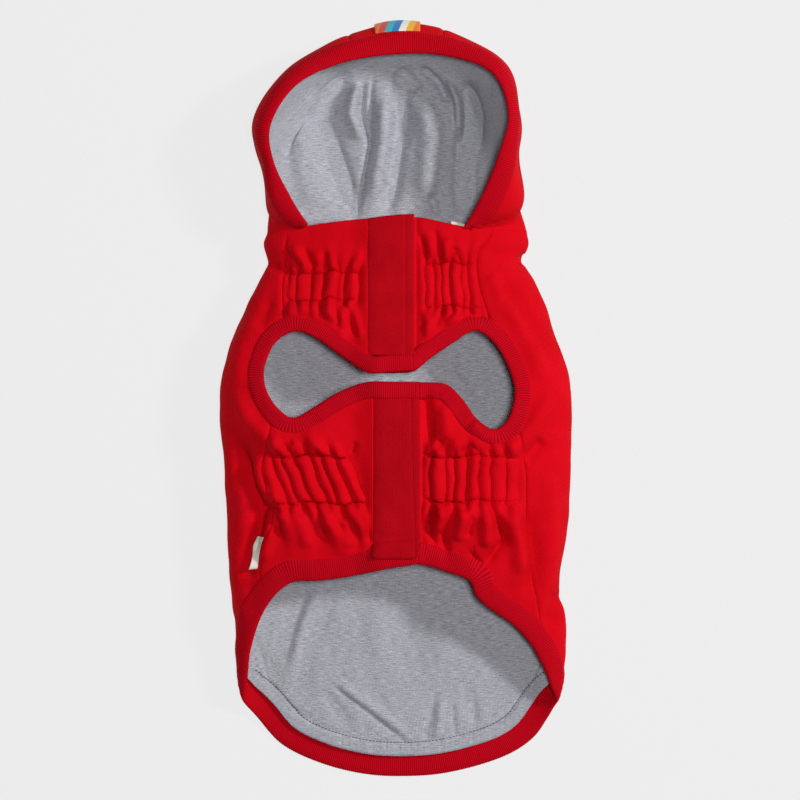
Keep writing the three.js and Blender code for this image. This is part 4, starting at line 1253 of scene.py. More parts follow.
@dataclass
class Finishes:
    """The coat's materials, each named for what it is."""

    # Smooth red jersey face of a brushed fleece: even, matt, with a faint bloom at its folds.
    fleece: bpy.types.Material = field(
        default_factory=KnitFace("red jersey-faced fleece", "#B8000E", "#D00012", "#DE0420").material
    )
    # Brushed facing of the flaps: a touch darker and more matt, with a fine stipple.
    facing: bpy.types.Material = field(default_factory=KnitFace(
        "red brushed facing", "#96000C", "#B20010", "#C2041C", fuzz=0.00025, heather=0.4, sheen=0.1
    ).material)
    # Ribbed bindings: dark lines between the crowns of the wales, painted shade of the grooves.
    rib: bpy.types.Material = field(default_factory=RibKnit("red rib knit").material)
    # Lining: short dark and pale fibres that lie across it.
    jersey: bpy.types.Material = field(default_factory=MarlJersey("grey marl jersey").material)
    # Hook and loop strip between the flaps and the bands: dull and coarse.
    hook_tape: bpy.types.Material = field(
        default_factory=WovenTape("red hook and loop tape", "#8C0016", 0.0009, 0.9).material
    )
    # The hood's tab: satin ribbon with bright slanted bars.
    ribbon: bpy.types.Material = field(default_factory=StripedRibbon("striped ribbon").material)
    # Plain labels of white satin tape, a little creamy.
    label: bpy.types.Material = field(default_factory=WovenTape("white label tape", "#DDD8CE").material)
    # Sewing thread: red in the red cloth, and dark grey at the lining's seam, where it reads as dashes.
    thread: bpy.types.Material = field(
        default_factory=WovenTape("red sewing thread", "#B00014", 0.0003, 0.7).material
    )
    dark_thread: bpy.types.Material = field(
        default_factory=WovenTape("dark grey sewing thread", "#3A3B42", 0.0003, 0.7).material
    )


def node_tree(name: str, kinds: dict[str, str]) -> tuple[bpy.types.NodeTree, dict[str, str], bpy.types.Node]:
    """A new Geometry Nodes tree.

    Args:
        name: Name of the tree.
        kinds: Socket type of each named input after the geometry.

    Returns:
        The tree, the identifier of each input, and its group input node.
    """
    tree = bpy.data.node_groups.new(name, "GeometryNodeTree")
    tree.interface.new_socket("Geometry", in_out="INPUT", socket_type="NodeSocketGeometry")
    tree.interface.new_socket("Geometry", in_out="OUTPUT", socket_type="NodeSocketGeometry")
    found = {
        key: tree.interface.new_socket(key, in_out="INPUT", socket_type=kind).identifier
        for key, kind in kinds.items()
    }
    return tree, found, add(tree, "NodeGroupInput")


def finish_tree(tree: bpy.types.NodeTree, shape: bpy.types.Node, cloth: bpy.types.NodeSocket) -> None:
    """Ends a Geometry Nodes tree: makes its instances real and gives it its material.

    Args:
        tree: The tree.
        shape: The node whose first output is the geometry.
        cloth: The material's socket.
    """
    real = add(tree, "GeometryNodeRealizeInstances", inputs={"Geometry": shape})
    dressed = add(tree, "GeometryNodeSetMaterial", inputs={"Geometry": real, "Material": cloth})
    add(tree, "NodeGroupOutput", inputs={"Geometry": dressed})


def applied(made: bpy.types.Object, tree: bpy.types.NodeTree, values: dict[str, object]) -> bpy.types.Object:
    """Runs a Geometry Nodes tree on an object and keeps the result as its plain mesh.

    Args:
        made: The object.
        tree: The tree.
        values: Value of each input, by its identifier.

    Returns:
        The same object.
    """
    modifier = made.modifiers.new(tree.name, "NODES")
    modifier.node_group = tree
    for key, value in values.items():
        modifier[key] = value
    graph = bpy.context.evaluated_depsgraph_get()
    mesh = bpy.data.meshes.new_from_object(
        made.evaluated_get(graph), preserve_all_data_layers=True, depsgraph=graph
    )
    made.modifiers.clear()
    made.data = mesh
    mesh.name = made.name
    return made


class RibTree:
    """Geometry Nodes that raise the wales of a rib knit along a binding."""

    def __init__(self) -> None:
        """Builds the tree, with its inputs Depth and Cloth."""
        kinds = {"Depth": "NodeSocketFloat", "Cloth": "NodeSocketMaterial"}
        self.tree, self.inputs, start = node_tree("rib_wales", kinds)
        tree = self.tree
        wale = add(tree, "GeometryNodeInputNamedAttribute", {"data_type": "FLOAT"}, {"Name": "wale"})
        turns = add(tree, "ShaderNodeMath", {"operation": "MULTIPLY"}, {0: wale, 1: TURN})
        wave = add(tree, "ShaderNodeMath", {"operation": "SINE"}, {0: turns})
        depth = start.outputs["Depth"]
        height = add(tree, "ShaderNodeMath", {"operation": "MULTIPLY"}, {0: wave, 1: depth})
        normal = add(tree, "GeometryNodeInputNormal")
        offset = add(tree, "ShaderNodeVectorMath", {"operation": "SCALE"}, {0: normal, "Scale": height})
        moved = add(tree, "GeometryNodeSetPosition", inputs={"Geometry": start, "Offset": offset})
        finish_tree(tree, moved, start.outputs["Cloth"])

    def knit(self, made: bpy.types.Object, depth: float, cloth: bpy.types.Material) -> bpy.types.Object:
        """Raises the wales on a binding and gives it its material."""
        return applied(made, self.tree, {self.inputs["Depth"]: depth * METRE, self.inputs["Cloth"]: cloth})


class StitchTree:
    """Geometry Nodes that sew a running stitch along a line."""

    share_of_pitch = 0.82

    def __init__(self) -> None:
        """Builds the tree, with its inputs Pitch, Length, Thickness and Thread."""
        kinds = dict.fromkeys(("Pitch", "Length", "Thickness"), "NodeSocketFloat")
        kinds["Thread"] = "NodeSocketMaterial"
        self.tree, self.inputs, start = node_tree("running_stitch", kinds)
        tree = self.tree
        path = add(tree, "GeometryNodeMeshToCurve", inputs={"Mesh": start})
        spaced = add(tree, "GeometryNodeResampleCurve", {"mode": "LENGTH"}, {
            "Curve": path, "Length": start.outputs["Pitch"],
        })
        tangent = add(tree, "GeometryNodeInputTangent")
        turned = add(tree, "FunctionNodeAlignRotationToVector", {"axis": "Z"}, {"Vector": tangent})
        ball = add(tree, "GeometryNodeMeshUVSphere", inputs={"Segments": 6, "Rings": 4, "Radius": 0.5})
        thickness = start.outputs["Thickness"]
        lengths = {0: thickness, 1: thickness, 2: start.outputs["Length"]}
        size = add(tree, "ShaderNodeCombineXYZ", inputs=lengths)
        copies = add(tree, "GeometryNodeInstanceOnPoints", inputs={
            "Points": spaced, "Instance": ball, "Rotation": turned, "Scale": size,
        })
        finish_tree(tree, copies, start.outputs["Thread"])

    def sew(self, name: str, lines: Sequence[Array], pitch: float, thickness: float,
            thread: bpy.types.Material) -> bpy.types.Object:
        """Sews running stitches along lines.

        Args:
            name: Name of the object.
            lines: Lines of points in millimetres.
            pitch: Distance from one stitch to the next.
            thickness: Thickness of the thread.
            thread: Material of the thread.

        Returns:
            The stitches as one mesh object.
        """
        points, edges = [], []
        for line in lines:
            edges += [(len(points) + k, len(points) + k + 1) for k in range(len(line) - 1)]
            points += ((line + ORIGIN_SHIFT) * METRE).tolist()
        mesh = bpy.data.meshes.new(name)
        mesh.from_pydata(points, edges, [])
        made = bpy.data.objects.new(name, mesh)
        bpy.context.scene.collection.objects.link(made)
        sizes = {"Pitch": pitch, "Length": pitch * self.share_of_pitch, "Thickness": thickness}
        values = {self.inputs[key]: value * METRE for key, value in sizes.items()}
        sewn = applied(made, self.tree, {**values, self.inputs["Thread"]: thread})
        sewn.data.shade_smooth()
        return sewn


@dataclass
class Piece:
    """A finished piece, with its nodes, slot, flat size, how it is held and what it rests on."""

    object: bpy.types.Object
    nodes: tuple[str, ...]
    slot: str
    flat: tuple[float, float] | None = None
    held: str = "laid"
    rests_on: tuple[str, ...] = ()

    def declare(self) -> None:
        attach(self.object, "root")
        if self.nodes:
            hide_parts(*self.nodes)
        if self.flat:
            # Folds may not make the panel larger than the rectangle that it is cut from.
            area = min(cloth_area(self.object), 0.999 * self.flat[0] * self.flat[1])
        faces = len(self.object.data.polygons)
        LOG.info("%s: %d faces, %.4f square metres", self.object.name, faces, cloth_area(self.object))


def cloth_area(made: bpy.types.Object) -> float:
    """Measures the cloth of a closed sheet.

    Args:
        made: The sheet's object.

    Returns:
        Area of one side in square metres.
    """
    areas = np.empty(len(made.data.polygons))
    made.data.polygons.foreach_get("area", areas)
    return float(areas.sum() / 2)


def cut(finishes: Finishes, sheet: Sheet, node: str, slot: str, flat: tuple[float, float] | None,
        held: str = "laid", *rests_on: str) -> Piece:
    """Builds a sheet in the material of its slot.

    Args:
        finishes: The coat's materials.
        sheet: The sheet.
        node: The node that it replaces.
        slot: Its material slot, which is also the name of its finish.
        flat: Its flat size in metres, or None.
        held: How it is held.
        rests_on: The pieces that it lies on.

    Returns:
        The piece.
    """
    made = sheet.build()
    made.data.materials.append(getattr(finishes, slot))
    return Piece(made, (node,), slot, flat, held, rests_on)


@dataclass
class Shell:
    """The red cloth of the body: the back panel and the four half bands of the belly."""

    wall: float = 1.6
    band_wall: float = 2.0
    seam_dip: float = 1.1
    seam_width: float = 1.3
    neck_start: float = -0.004
    neck_fade: float = 0.03
    neck_end: float = 0.268
    chest_start: float = 0.264
    bindings: tuple[float, float] = (5.0, 6.0)
    back_grid: tuple[int, int] = (230, 170)
    band_grid: tuple[int, int] = (112, 132)
    widest_angle: float = 138.0
    samples: int = 900

    def back(self, name: str, low: float, high: float, relief: Callable[[Array, Array], Array],
             size: tuple[int, int], reach: tuple[float, float], dip: float, short: float = 0.0) -> Sheet:
        """A sheet of the back, from one side seam round the floor side to the other.

        Args:
            name: Name of the piece.
            low: Height of its inner face over the body's surface.
            high: Height of its outer face.
            relief: Height of its folds.
            size: Columns and rows.
            reach: How far it ends from the leg openings and from the hem.
            dip: How deep its side edges turn into the seams.
            short: How far before the hem its last row lies.

        Returns:
            The sheet.
        """
        i, j = unit_grid(*size)
        hem_angles, hem_shares = HEM.beside(HEM.fine, -1, np.full(HEM.fine.shape, short))
        even = np.linspace(0, 1, self.samples)
        round_back = np.linspace(-self.widest_angle, self.widest_angle, self.samples)
        runs = run_length(BODY.point(round_back, np.full(self.samples, 0.35)))
        share = np.interp(i, runs / runs[-1], even)
        # The seams and the hem each depend on where the other is, so a few rounds bring them together.
        b = j * 0.8
        for _ in range(6):
            left, right = BODY.angle(seam_x(-1, b), b), BODY.angle(seam_x(1, b), b)
            a = left + (right - left) * share
            b = self.neck_start + j * (np.interp(a, hem_angles, hem_shares) - self.neck_start)
        point = BODY.point(a, b)
        height = relief(a, b)
        for distance in side_distances(point)[:2]:
            height = height - dip * bell(distance, self.seam_width) * smooth(b / self.neck_fade)
        return Sheet(name, BODY, a, b, low, high, height, kept_cells(outside_bindings(point, *reach)))

    def band(self, name: str, hand: int, gathers: Gathers, closing: Closing) -> Sheet:
        """Half of a belly band, from its side seam to the flap.

        Args:
            name: Name of the piece.
            hand: -1 for the left half and 1 for the right.
            gathers: The tucks of its elastic.
            closing: The flap that closes the band.

        Returns:
            The sheet.
        """
        left, neck = hand < 0, closing.at_neck
        i, j = unit_grid(*self.band_grid)
        inner = closing.left + (0.012 if left else 0.06)
        b = 0.02 + j * (0.23 if neck else 0.3) + (0.0 if neck else 0.25)
        for _ in range(5):
            outer = seam_x(hand, b)
            x = outer + (inner - outer) * i
            a = BODY.angle(x, b)
            if neck:
                # Beside the free edge the band starts a little under the hood, so that no gap shows.
                under_hood = 0.003 * smooth((np.abs(x + 0.05) - 0.46) / 0.08)
                start, end = neck_share(x) - under_hood, np.full(x.shape, self.neck_end)
            else:
                start, end = np.full(x.shape, self.chest_start), hem_share(a)
            b = start + (end - start) * j
        point = BODY.point(a, b)
        # The tucks end at the side seam, before the flap's sewn edge and under its free edge.
        flat = smooth((1 - i) * 9) if left else smooth((point[..., 0] - 14.5) / 6)
        height = body_relief(a, b) + gathers.height(point) * flat * smooth(i * 10)
        if left:
            height = height + closing.raised(point[..., 0])
        else:
            # The flap presses the cloth down under its free edge.
            from_flap = point[..., 0] - closing.left * BODY.half_width - closing.width
            height = height - 0.5 * smooth((5 - from_flap) / 4) - 1.1 * bell(from_flap - 1.5, 2.5)
        to_seam = side_distances(point)[0]
        height = height - self.seam_dip * bell(to_seam, self.seam_width) * smooth(b / self.neck_fade)
        turned = (0.0, 0.0 if left else 1.2, 1.6 if neck else 0.0, 0.0)
        keep = kept_cells(outside_bindings(point, *self.bindings))
        return Sheet(name, BODY, a, b, -self.band_wall, 0.0, height, keep, turned)

    def build(self, finishes: Finishes) -> list[Piece]:
        """Builds the red cloth of the body.

        Args:
            finishes: The coat's materials.

        Returns:
            The back panel and the half bands.
        """
        back = self.back("back_cloth", -self.wall, 0, body_relief, self.back_grid, self.bindings,
                         self.seam_dip)
        pieces = [cut(finishes, back, "back_panel", "fleece", (0.36, 0.36))]
        for band, hand, gathers, closing, flat in (
            ("neck_band", -1, NECK_LEFT, NECK_CLOSING, (0.058, 0.095)),
            ("neck_band", 1, NECK_RIGHT, NECK_CLOSING, (0.08, 0.095)),
            ("chest_band", -1, CHEST_LEFT, CHEST_CLOSING, (0.085, 0.15)),
            ("chest_band", 1, CHEST_RIGHT, CHEST_CLOSING, (0.1, 0.155)),
        ):
            side = "left" if hand < 0 else "right"
            sheet = self.band(f"{band}_cloth_{side}", hand, gathers, closing)
            pieces.append(cut(finishes, sheet, f"{band}_{side}", "fleece", flat, "gathered"))
        return pieces


@dataclass
class Lining:
    """The grey marl jersey inside the body and the hood."""

    wall: float = 1.0
    clearance: float = 0.5
    shell_wall: float = 1.6
    allowance: float = 7.5
    from_hem: float = 12.9
    from_rim: float = 13.5
    body_grid: tuple[int, int] = (230, 200)
    hood_grid: tuple[int, int] = (310, 140)
    rounds: int = 140

    def body_height(self, a: Array, b: Array) -> Array:
        """Folds of the body's lining, which lift it inwards, and the ridge of its seam allowance at the hem.

        Args:
            a: Angles round the body.
            b: Shares along it.

        Returns:
            Height in millimetres, below zero inwards.
        """
        point = BODY.point(a, b)
        floor = smooth((26 - point[..., 2]) / 8)
        inward = 1.0 + 1.5 * folds_height(LINING_FOLDS, point) + 0.35 * crumple(point, 26, 7)
        seam = HEM.distance(point) - HEM_BINDING
        allowance = 0.9 * smooth((self.allowance - seam) / 1.2) - 0.9 * bell(seam - self.allowance, 0.8)
        along = point[..., 0]
        puckers = 0.22 * np.sin(along * 1.9 + 2 * np.sin(along * 0.31)) * bell(seam - 3.6, 3.4)
        inside = np.maximum(inward, 0.1) + allowance + puckers
        return -inside * floor + (1 - floor) * np.minimum(body_relief(a, b) - 0.2, -0.2)

    def hood_height(self, a: Array, b: Array) -> Array:
        """Folds of the hood's lining, which lift it inwards off the floor.

        Args:
            a: Places round the rim.
            b: Shares of the way to it.

        Returns:
            Height in millimetres, below zero inwards.
        """
        point = HOOD.point(a, b)
        normal = frame_at(HOOD, a, b)[1]
        floor = smooth(0.5 - normal[..., 2] * 0.6) * smooth((1 - b) / 0.3) * smooth(b / 0.05)
        folded = 1.65 * folds_height(HOOD_FOLDS, point)
        return -(np.maximum(folded + 4.5, 0.0) * floor + 0.5 * crumple(point, 22, 9) * smooth((1 - b) / 0.2))

    def build(self, finishes: Finishes, shell: Shell) -> list[Piece]:
        """Builds the linings of the body and the hood.

        Args:
            finishes: The coat's materials.
            shell: The red cloth, whose grid the body's lining follows.

        Returns:
            The two linings.
        """
        high = -self.shell_wall - self.clearance
        low = high - self.wall
        body = shell.back("body_lining_cloth", low, high, self.body_height, self.body_grid, (8.0, 0.0), 0.0,
                          self.from_hem)
        a, b = hood_grid(0.012, 0.985, *self.hood_grid, self.from_rim)
        height = self.hood_height(a, b)
        hood = Sheet("hood_lining_cloth", HOOD, a, b, low, high, height, relaxed=self.rounds)
        return [
            cut(finishes, body, "body_lining", "jersey", (0.36, 0.34), "laid", "back_cloth"),
            cut(finishes, hood, "hood_lining", "jersey", (0.34, 0.15), "laid", "hood_cloth_center"),
        ]


@dataclass
class Hood:
    """The red cloth of the hood: two sides and a centre panel."""

    wall: float = 1.6
    ends: tuple[float, float] = (0.012, 0.985)
    seams: tuple[float, float] = (0.434, 0.566)
    dips: tuple[float, float, float] = (0.8, 0.8, 0.2)
    dip_width: float = 1.4
    from_rim: float = 7.0
    rows: int = 84

    def panel(self, name: str, start: float, end: float, columns: int) -> Sheet:
        """One panel of the hood.

        Args:
            name: Name of the piece.
            start: Place round the rim of its first side.
            end: Place of its second side.
            columns: Cells across.

        Returns:
            The sheet.
        """
        a, b = hood_grid(start, end, columns, self.rows, self.from_rim)
        height = hood_relief(a, b)
        for distance, dip in zip(side_distances(HOOD.point(a, b)), self.dips):
            height = height - dip * bell(distance, self.dip_width)
        return Sheet(name, HOOD, a, b, -self.wall, 0, height)

    def build(self, finishes: Finishes) -> list[Piece]:
        """Builds the hood's three panels.

        Args:
            finishes: The coat's materials.

        Returns:
            The panels.
        """
        return [
            cut(finishes, self.panel(name, start, end, columns), node, "fleece", flat)
            for name, node, start, end, columns, flat in (
                ("hood_cloth_left", "hood_side_left", self.ends[0], self.seams[0], 120, (0.16, 0.13)),
                ("hood_cloth_center", "hood_center", *self.seams, 50, (0.06, 0.17)),
                ("hood_cloth_right", "hood_side_right", self.seams[1], self.ends[1], 120, (0.16, 0.13)),
            )
        ]


@dataclass
class Bindings:
    """The ribbed bindings of the leg openings, the hem and the hood."""

    hood_width: float = 14.0
    wall: float = 2.0
    lip: float = 1.3
    crown: float = 1.0
    wale: float = 1.3
    wale_depth: float = 0.16
    steps_per_wale: int = 4
    measured: int = 6

    def profile(self, width: float) -> list[tuple[float, float]]:
        """Cross-section of a binding, round the whole section.

        Args:
            width: Its width in millimetres.

        Returns:
            Distance from the free edge and height of each corner, in millimetres.
        """
        over = [(width, -0.5), (width - 0.7, 0.5), (width - 1.6, 0.85), (width * 0.7, self.crown),
                (width * 0.45, self.crown + 0.05), (width * 0.2, self.crown), (1.0, 0.75), (0.2, 0.25)]
        edge = [(-0.25, -self.lip * 0.4), (0.2, -self.lip), (1.2, -self.wall * 0.92)]
        under = [(width * 0.35, -self.wall), (width * 0.7, -self.wall), (width - 1.0, -self.wall)]
        return over + edge + under + [(width, -1.5)]

    def loop(self, name: str, grid: Array, run: Array) -> bpy.types.Object:
        """A closed tube of cross-sections with end caps.

        Args:
            name: Name of the object.
            grid: Points, cross-section by cross-section.
            run: Length along the binding of each cross-section.

        Returns:
            The mesh object, with its length along the binding stored as wale.
        """
        sections, around = grid.shape[:2]
        number = np.arange(sections * around).reshape(sections, around)
        after = np.roll(number, -1, axis=1)
        quads = np.stack([number[:-1], number[1:], after[1:], after[:-1]], axis=-1).reshape(-1, 4)
        # The end caps are strips between the two halves of a section.
        half = around // 2
        caps = [[number[s, k], number[s, k + 1], number[s, around - 2 - k], number[s, around - 1 - k]]
                for s in (0, sections - 1) for k in range(half - 1)]
        start = np.array(caps[: half - 1])[:, ::-1]
        quads = np.concatenate([quads, start, np.array(caps[half - 1:])])
        # The first and last wale stay plain, so that the caps stay flat.
        plain_ends = np.clip(run, self.wale, run[-1] // self.wale * self.wale - self.wale)
        wale = np.repeat(plain_ends, around) / self.wale
        steps = np.linalg.norm(np.diff(grid, axis=1), axis=2)
        across = np.concatenate([np.zeros((sections, 1)), np.cumsum(steps, axis=1)], axis=1)
        uv = np.stack([np.repeat(run, around), across.ravel()], axis=-1) * METRE
        points = (grid.reshape(-1, 3) + ORIGIN_SHIFT) * METRE
        return mesh_object(name, points, quads, uv, {"wale": wale})

    def on_body(self, name: str, edge: Edge, side: int, width: float,
                raised: Callable[[Array, Array], Array] | None = None) -> bpy.types.Object:
        """A binding beside an edge of the body.

        Args:
            name: Name of the object.
            edge: The edge that it binds.
            side: Which side of the edge it lies on.
            width: How wide it is.
            raised: Extra height at places s with points.

        Returns:
            The mesh object.
        """
        s = edge.even(self.wale / self.steps_per_wale)
        sections = []
        for distance, height in self.profile(width):
            a, b = edge.beside(s, side, np.full(len(s), distance))
            point, normal, _, _ = frame_at(BODY, a, b)
            high = height + body_relief(a, b)
            # Nothing is raised where the binding lies on the floor.
            floor = smooth(point[:, 2] / 6)
            high = np.where(height > 0, high * floor + np.minimum(high, 0) * (1 - floor), high)
            if raised is not None:
                high = high + raised(s, point)
            sections.append(point + normal * high[:, None])
        grid = np.stack(sections, axis=1)
        return self.loop(name, grid, run_length(grid[:, self.measured]))

    def on_hood(self, name: str) -> bpy.types.Object:
        """The binding round the hood's face opening.

        Args:
            name: Name of the object.

        Returns:
            The mesh object.
        """
        even = np.linspace(0, 1, 1200)
        runs = run_length(HOOD.point(even, np.ones(even.shape)))
        count = round(runs[-1] / self.wale) * self.steps_per_wale
        a = np.interp(np.linspace(0, runs[-1], count), runs, even)
        sections = []
        for distance, height in self.profile(self.hood_width):
            b = HOOD.strip(a, np.full(len(a), max(distance, 0.0)))
            point, normal, _, along = frame_at(HOOD, a, b)
            if distance < 0:
                point = point - unit(along) * distance
            sections.append(point + normal * (height + hood_relief(a, b))[:, None])
        grid = np.stack(sections, axis=1)
        return self.loop(name, grid, run_length(grid[:, self.measured]))

    def build(self, finishes: Finishes) -> list[Piece]:
        """Builds the four bindings and knits their ribs.

        Args:
            finishes: The coat's materials.

        Returns:
            The bindings.
        """
        neck, chest = NECK_CLOSING.raised, CHEST_CLOSING.raised
        made = (
            (self.on_body("leg_binding_left", LEFT_LEG, -1, LEG_BINDING,
                          lambda s, p: np.where(s < 0.5, neck(p[:, 0]), chest(p[:, 0]))),
             "leg_rib_left", LEG_BINDING),
            (self.on_body("leg_binding_right", RIGHT_LEG, 1, LEG_BINDING), "leg_rib_right", LEG_BINDING),
            (self.on_body("hem_binding", HEM, -1, HEM_BINDING,
                          lambda s, p: np.where((s < 0.5) & (p[:, 2] > 30), chest(p[:, 0]), 0.0)),
             "hem_rib", HEM_BINDING),
            (self.on_hood("hood_binding"), "hood_rib", self.hood_width),
        )
        ribs = RibTree()
        pieces = []
        for binding, node, width in made:
            knit = ribs.knit(binding, self.wale_depth, finishes.rib)
            length = float(cloth_area(knit) / (width * METRE))
            flat = round(length, 3), round(width * METRE * 1.02, 4)
            pieces.append(Piece(knit, (node,), "rib", flat, "folded"))
        return pieces


@dataclass
class Closures:
    """The flaps that close the belly bands and the hook and loop strips under them."""

    wall: float = 1.8
    strip_wall: float = 1.2
    clearance: float = 0.6
    corner: float = 5.0
    turned: float = 1.6
    tuck_under: float = 9.6
    over_rib: float = 4.0
    corner_rise: float = 1.6
    rib_step: float = 3.1
    seam_gap: float = 0.35
    line_at: float = 5.5
    line_depth: float = 0.35
    strip_margin: float = 5.0

    def flap(self, name: str, closing: Closing) -> Sheet:
        """A flap, stepped up over the other half of its band.

        Args:
            name: Name of the piece.
            closing: Its place and reach.

        Returns:
            The sheet.
        """
        neck = closing.at_neck
        i, j = unit_grid(44, 110)
        x = closing.left + (self.seam_gap + (closing.width - self.seam_gap) * i) / BODY.half_width
        under_rib = self.tuck_under / BODY.length
        top = neck_share(x) - self.corner_rise * i / BODY.length if neck else closing.top + under_rib
        from_corner = np.maximum((x - x[:, -1:]) * BODY.half_width + self.corner, 0)
        rounding = self.corner - np.sqrt(np.maximum(self.corner**2 - from_corner**2, 0))
        bottom = closing.bottom - (under_rib if neck else (self.over_rib + rounding) / BODY.length)
        b = top + (bottom - top) * j
        a = BODY.angle(x, b)
        point = BODY.point(a, b)
        height = closing.raised(point[..., 0]) + 0.25 * crumple(point, 15, 12)
        if not neck:
            height = height + self.rib_step * smooth((16.5 - HEM.distance(point)) / 3.5)
        # The sewn side dips into its seam, and a row of stitching presses a line in beside each free side.
        sides = side_distances(point)
        height = height - 0.9 * bell(sides[0], 1.2)
        for distance in sides[1:3] if neck else sides[1:2]:
            height = height - self.line_depth * bell(distance - self.line_at, 0.8)
        ends = (self.turned, 0.0) if neck else (0.0, self.turned)
        return Sheet(name, BODY, a, b, -self.wall, 0, height, None, (0.0, self.turned, *ends))

    def strip(self, name: str, closing: Closing, top: float, bottom: float) -> Sheet:
        """A hook and loop strip under a flap.

        Args:
            name: Name of the piece.
            closing: The flap over it.
            top: Share along the body where the flap's free part starts.
            bottom: Share where it ends.

        Returns:
            The sheet.
        """
        i, j = unit_grid(12, 40)
        margin = self.strip_margin / BODY.length
        x = closing.left + (closing.step + 1.5 + (closing.width - closing.step - 4.0) * i) / BODY.half_width
        b = (top + margin) * (1 - j) + (bottom - margin) * j
        high = self.clearance + self.strip_wall
        return Sheet(name, BODY, BODY.angle(x, b), b, self.clearance, high, np.zeros(x.shape))

    def build(self, finishes: Finishes) -> list[Piece]:
        """Builds the flaps and strips.

        Args:
            finishes: The coat's materials.

        Returns:
            The two flaps, then the two strips.
        """
        leg, hem = LEG_BINDING / BODY.length, HEM_BINDING / BODY.length
        neck, chest = NECK_CLOSING, CHEST_CLOSING
        neck_strip = self.strip("neck_strip", neck, neck.top, neck.bottom - leg)
        chest_strip = self.strip("chest_strip", chest, chest.top + leg, chest.bottom - hem)
        return [
            cut(finishes, sheet, node, slot, flat, "laid", under) for sheet, node, slot, flat, under in (
                (self.flap("neck_flap_cloth", neck), "neck_flap", "facing", (0.034, 0.096), "neck_strip"),
                (self.flap("chest_flap_cloth", chest), "chest_flap", "facing", (0.034, 0.114), "chest_strip"),
                (neck_strip, "neck_fastener", "hook_tape", (0.02, 0.074), "neck_band_cloth_right"),
                (chest_strip, "chest_fastener", "hook_tape", (0.02, 0.078), "chest_band_cloth_right"),
            )
        ]


@dataclass
class Labels:
    """The hood's ribbon tab and the two small labels."""

    wall: float = 0.8
    clearance: float = 0.35
    hem: float = 0.4
    tab: tuple[float, float] = (27.0, 17.0)
    tab_start: float = 14.7
    side: tuple[float, float] = (9.0, 20.0)
    side_at: float = 0.555
    side_rise: float = 4.0
    side_start: float = 2.1
    neck: tuple[float, float] = (9.0, 6.0)
    neck_x: float = 0.31
    neck_peek: float = 2.0
    neck_under: float = 3.5

    def crown_tab(self) -> Sheet:
        """The ribbon tab, sewn in behind the forehead binding and lying back over the crown.

        Returns:
            The sheet.
        """
        crown = np.array([0.49, 0.51])
        ends = HOOD.point(crown, np.array([0.9, 0.9]))
        half = self.tab[0] / 2 / (np.linalg.norm(ends[1] - ends[0]) / 0.02)
        i, j = unit_grid(30, 20)
        a = 0.5 - half + 2 * half * i
        reaches = self.tab_start, self.tab_start + self.tab[1]
        near, far = (HOOD.strip(a[0], np.full(a.shape[1], reach)) for reach in reaches)
        b = near * (1 - j) + far * j
        height = hood_relief(a, b) + self.clearance + 0.5 * np.sin(j * math.pi)
        turned = (self.hem, self.hem, 0, self.hem)
        return Sheet("hood_ribbon_tab", HOOD, a, b, 0, self.wall, height, None, turned)

    def side_label(self) -> Sheet:
        """The folded label in the left side seam, which stands up as it leaves the seam.

        Returns:
            The sheet.
        """
        i, j = unit_grid(16, 20)
        b = self.side_at + j * self.side[1] / BODY.length
        curl = 1 + 0.25 * np.sin(5 * j + 0.6)
        x = seam_x(-1, b) - (self.side_start + 0.5 * self.side[0] * (1 - i) * curl) / BODY.half_width
        a = BODY.angle(x, b)
        height = body_relief(a, b) + self.clearance + 1.4 * self.side_rise * (1 - i) * (2 - curl)
        turned = (self.hem, 0, self.hem, self.hem)
        return Sheet("side_label_cloth", BODY, a, b, 0, self.wall, height, None, turned)

    def neck_label(self) -> Sheet:
        """The small label behind the neck band's top edge.

        Returns:
            The sheet.
        """
        i, j = unit_grid(10, 8)
        x = self.neck_x + i * self.neck[0] / BODY.half_width
        b = neck_share(x) + (j * self.neck[1] - self.neck_peek) / BODY.length
        low = -self.neck_under - self.wall
        return Sheet("neck_label_cloth", BODY, BODY.angle(x, b), b, low, low + self.wall, np.zeros(x.shape))

    def build(self, finishes: Finishes) -> list[Piece]:
        """Builds the tab and labels.

        Args:
            finishes: The coat's materials.

        Returns:
            The tab and the two labels.
        """
        tab = tuple(side * METRE for side in self.tab)
        return [
            cut(finishes, self.crown_tab(), "hood_tab", "ribbon", tab, "folded"),
            cut(finishes, self.side_label(), "side_label", "label", (0.0105, 0.021), "folded"),
            cut(finishes, self.neck_label(), "neck_label", "label", None, "folded"),
        ]


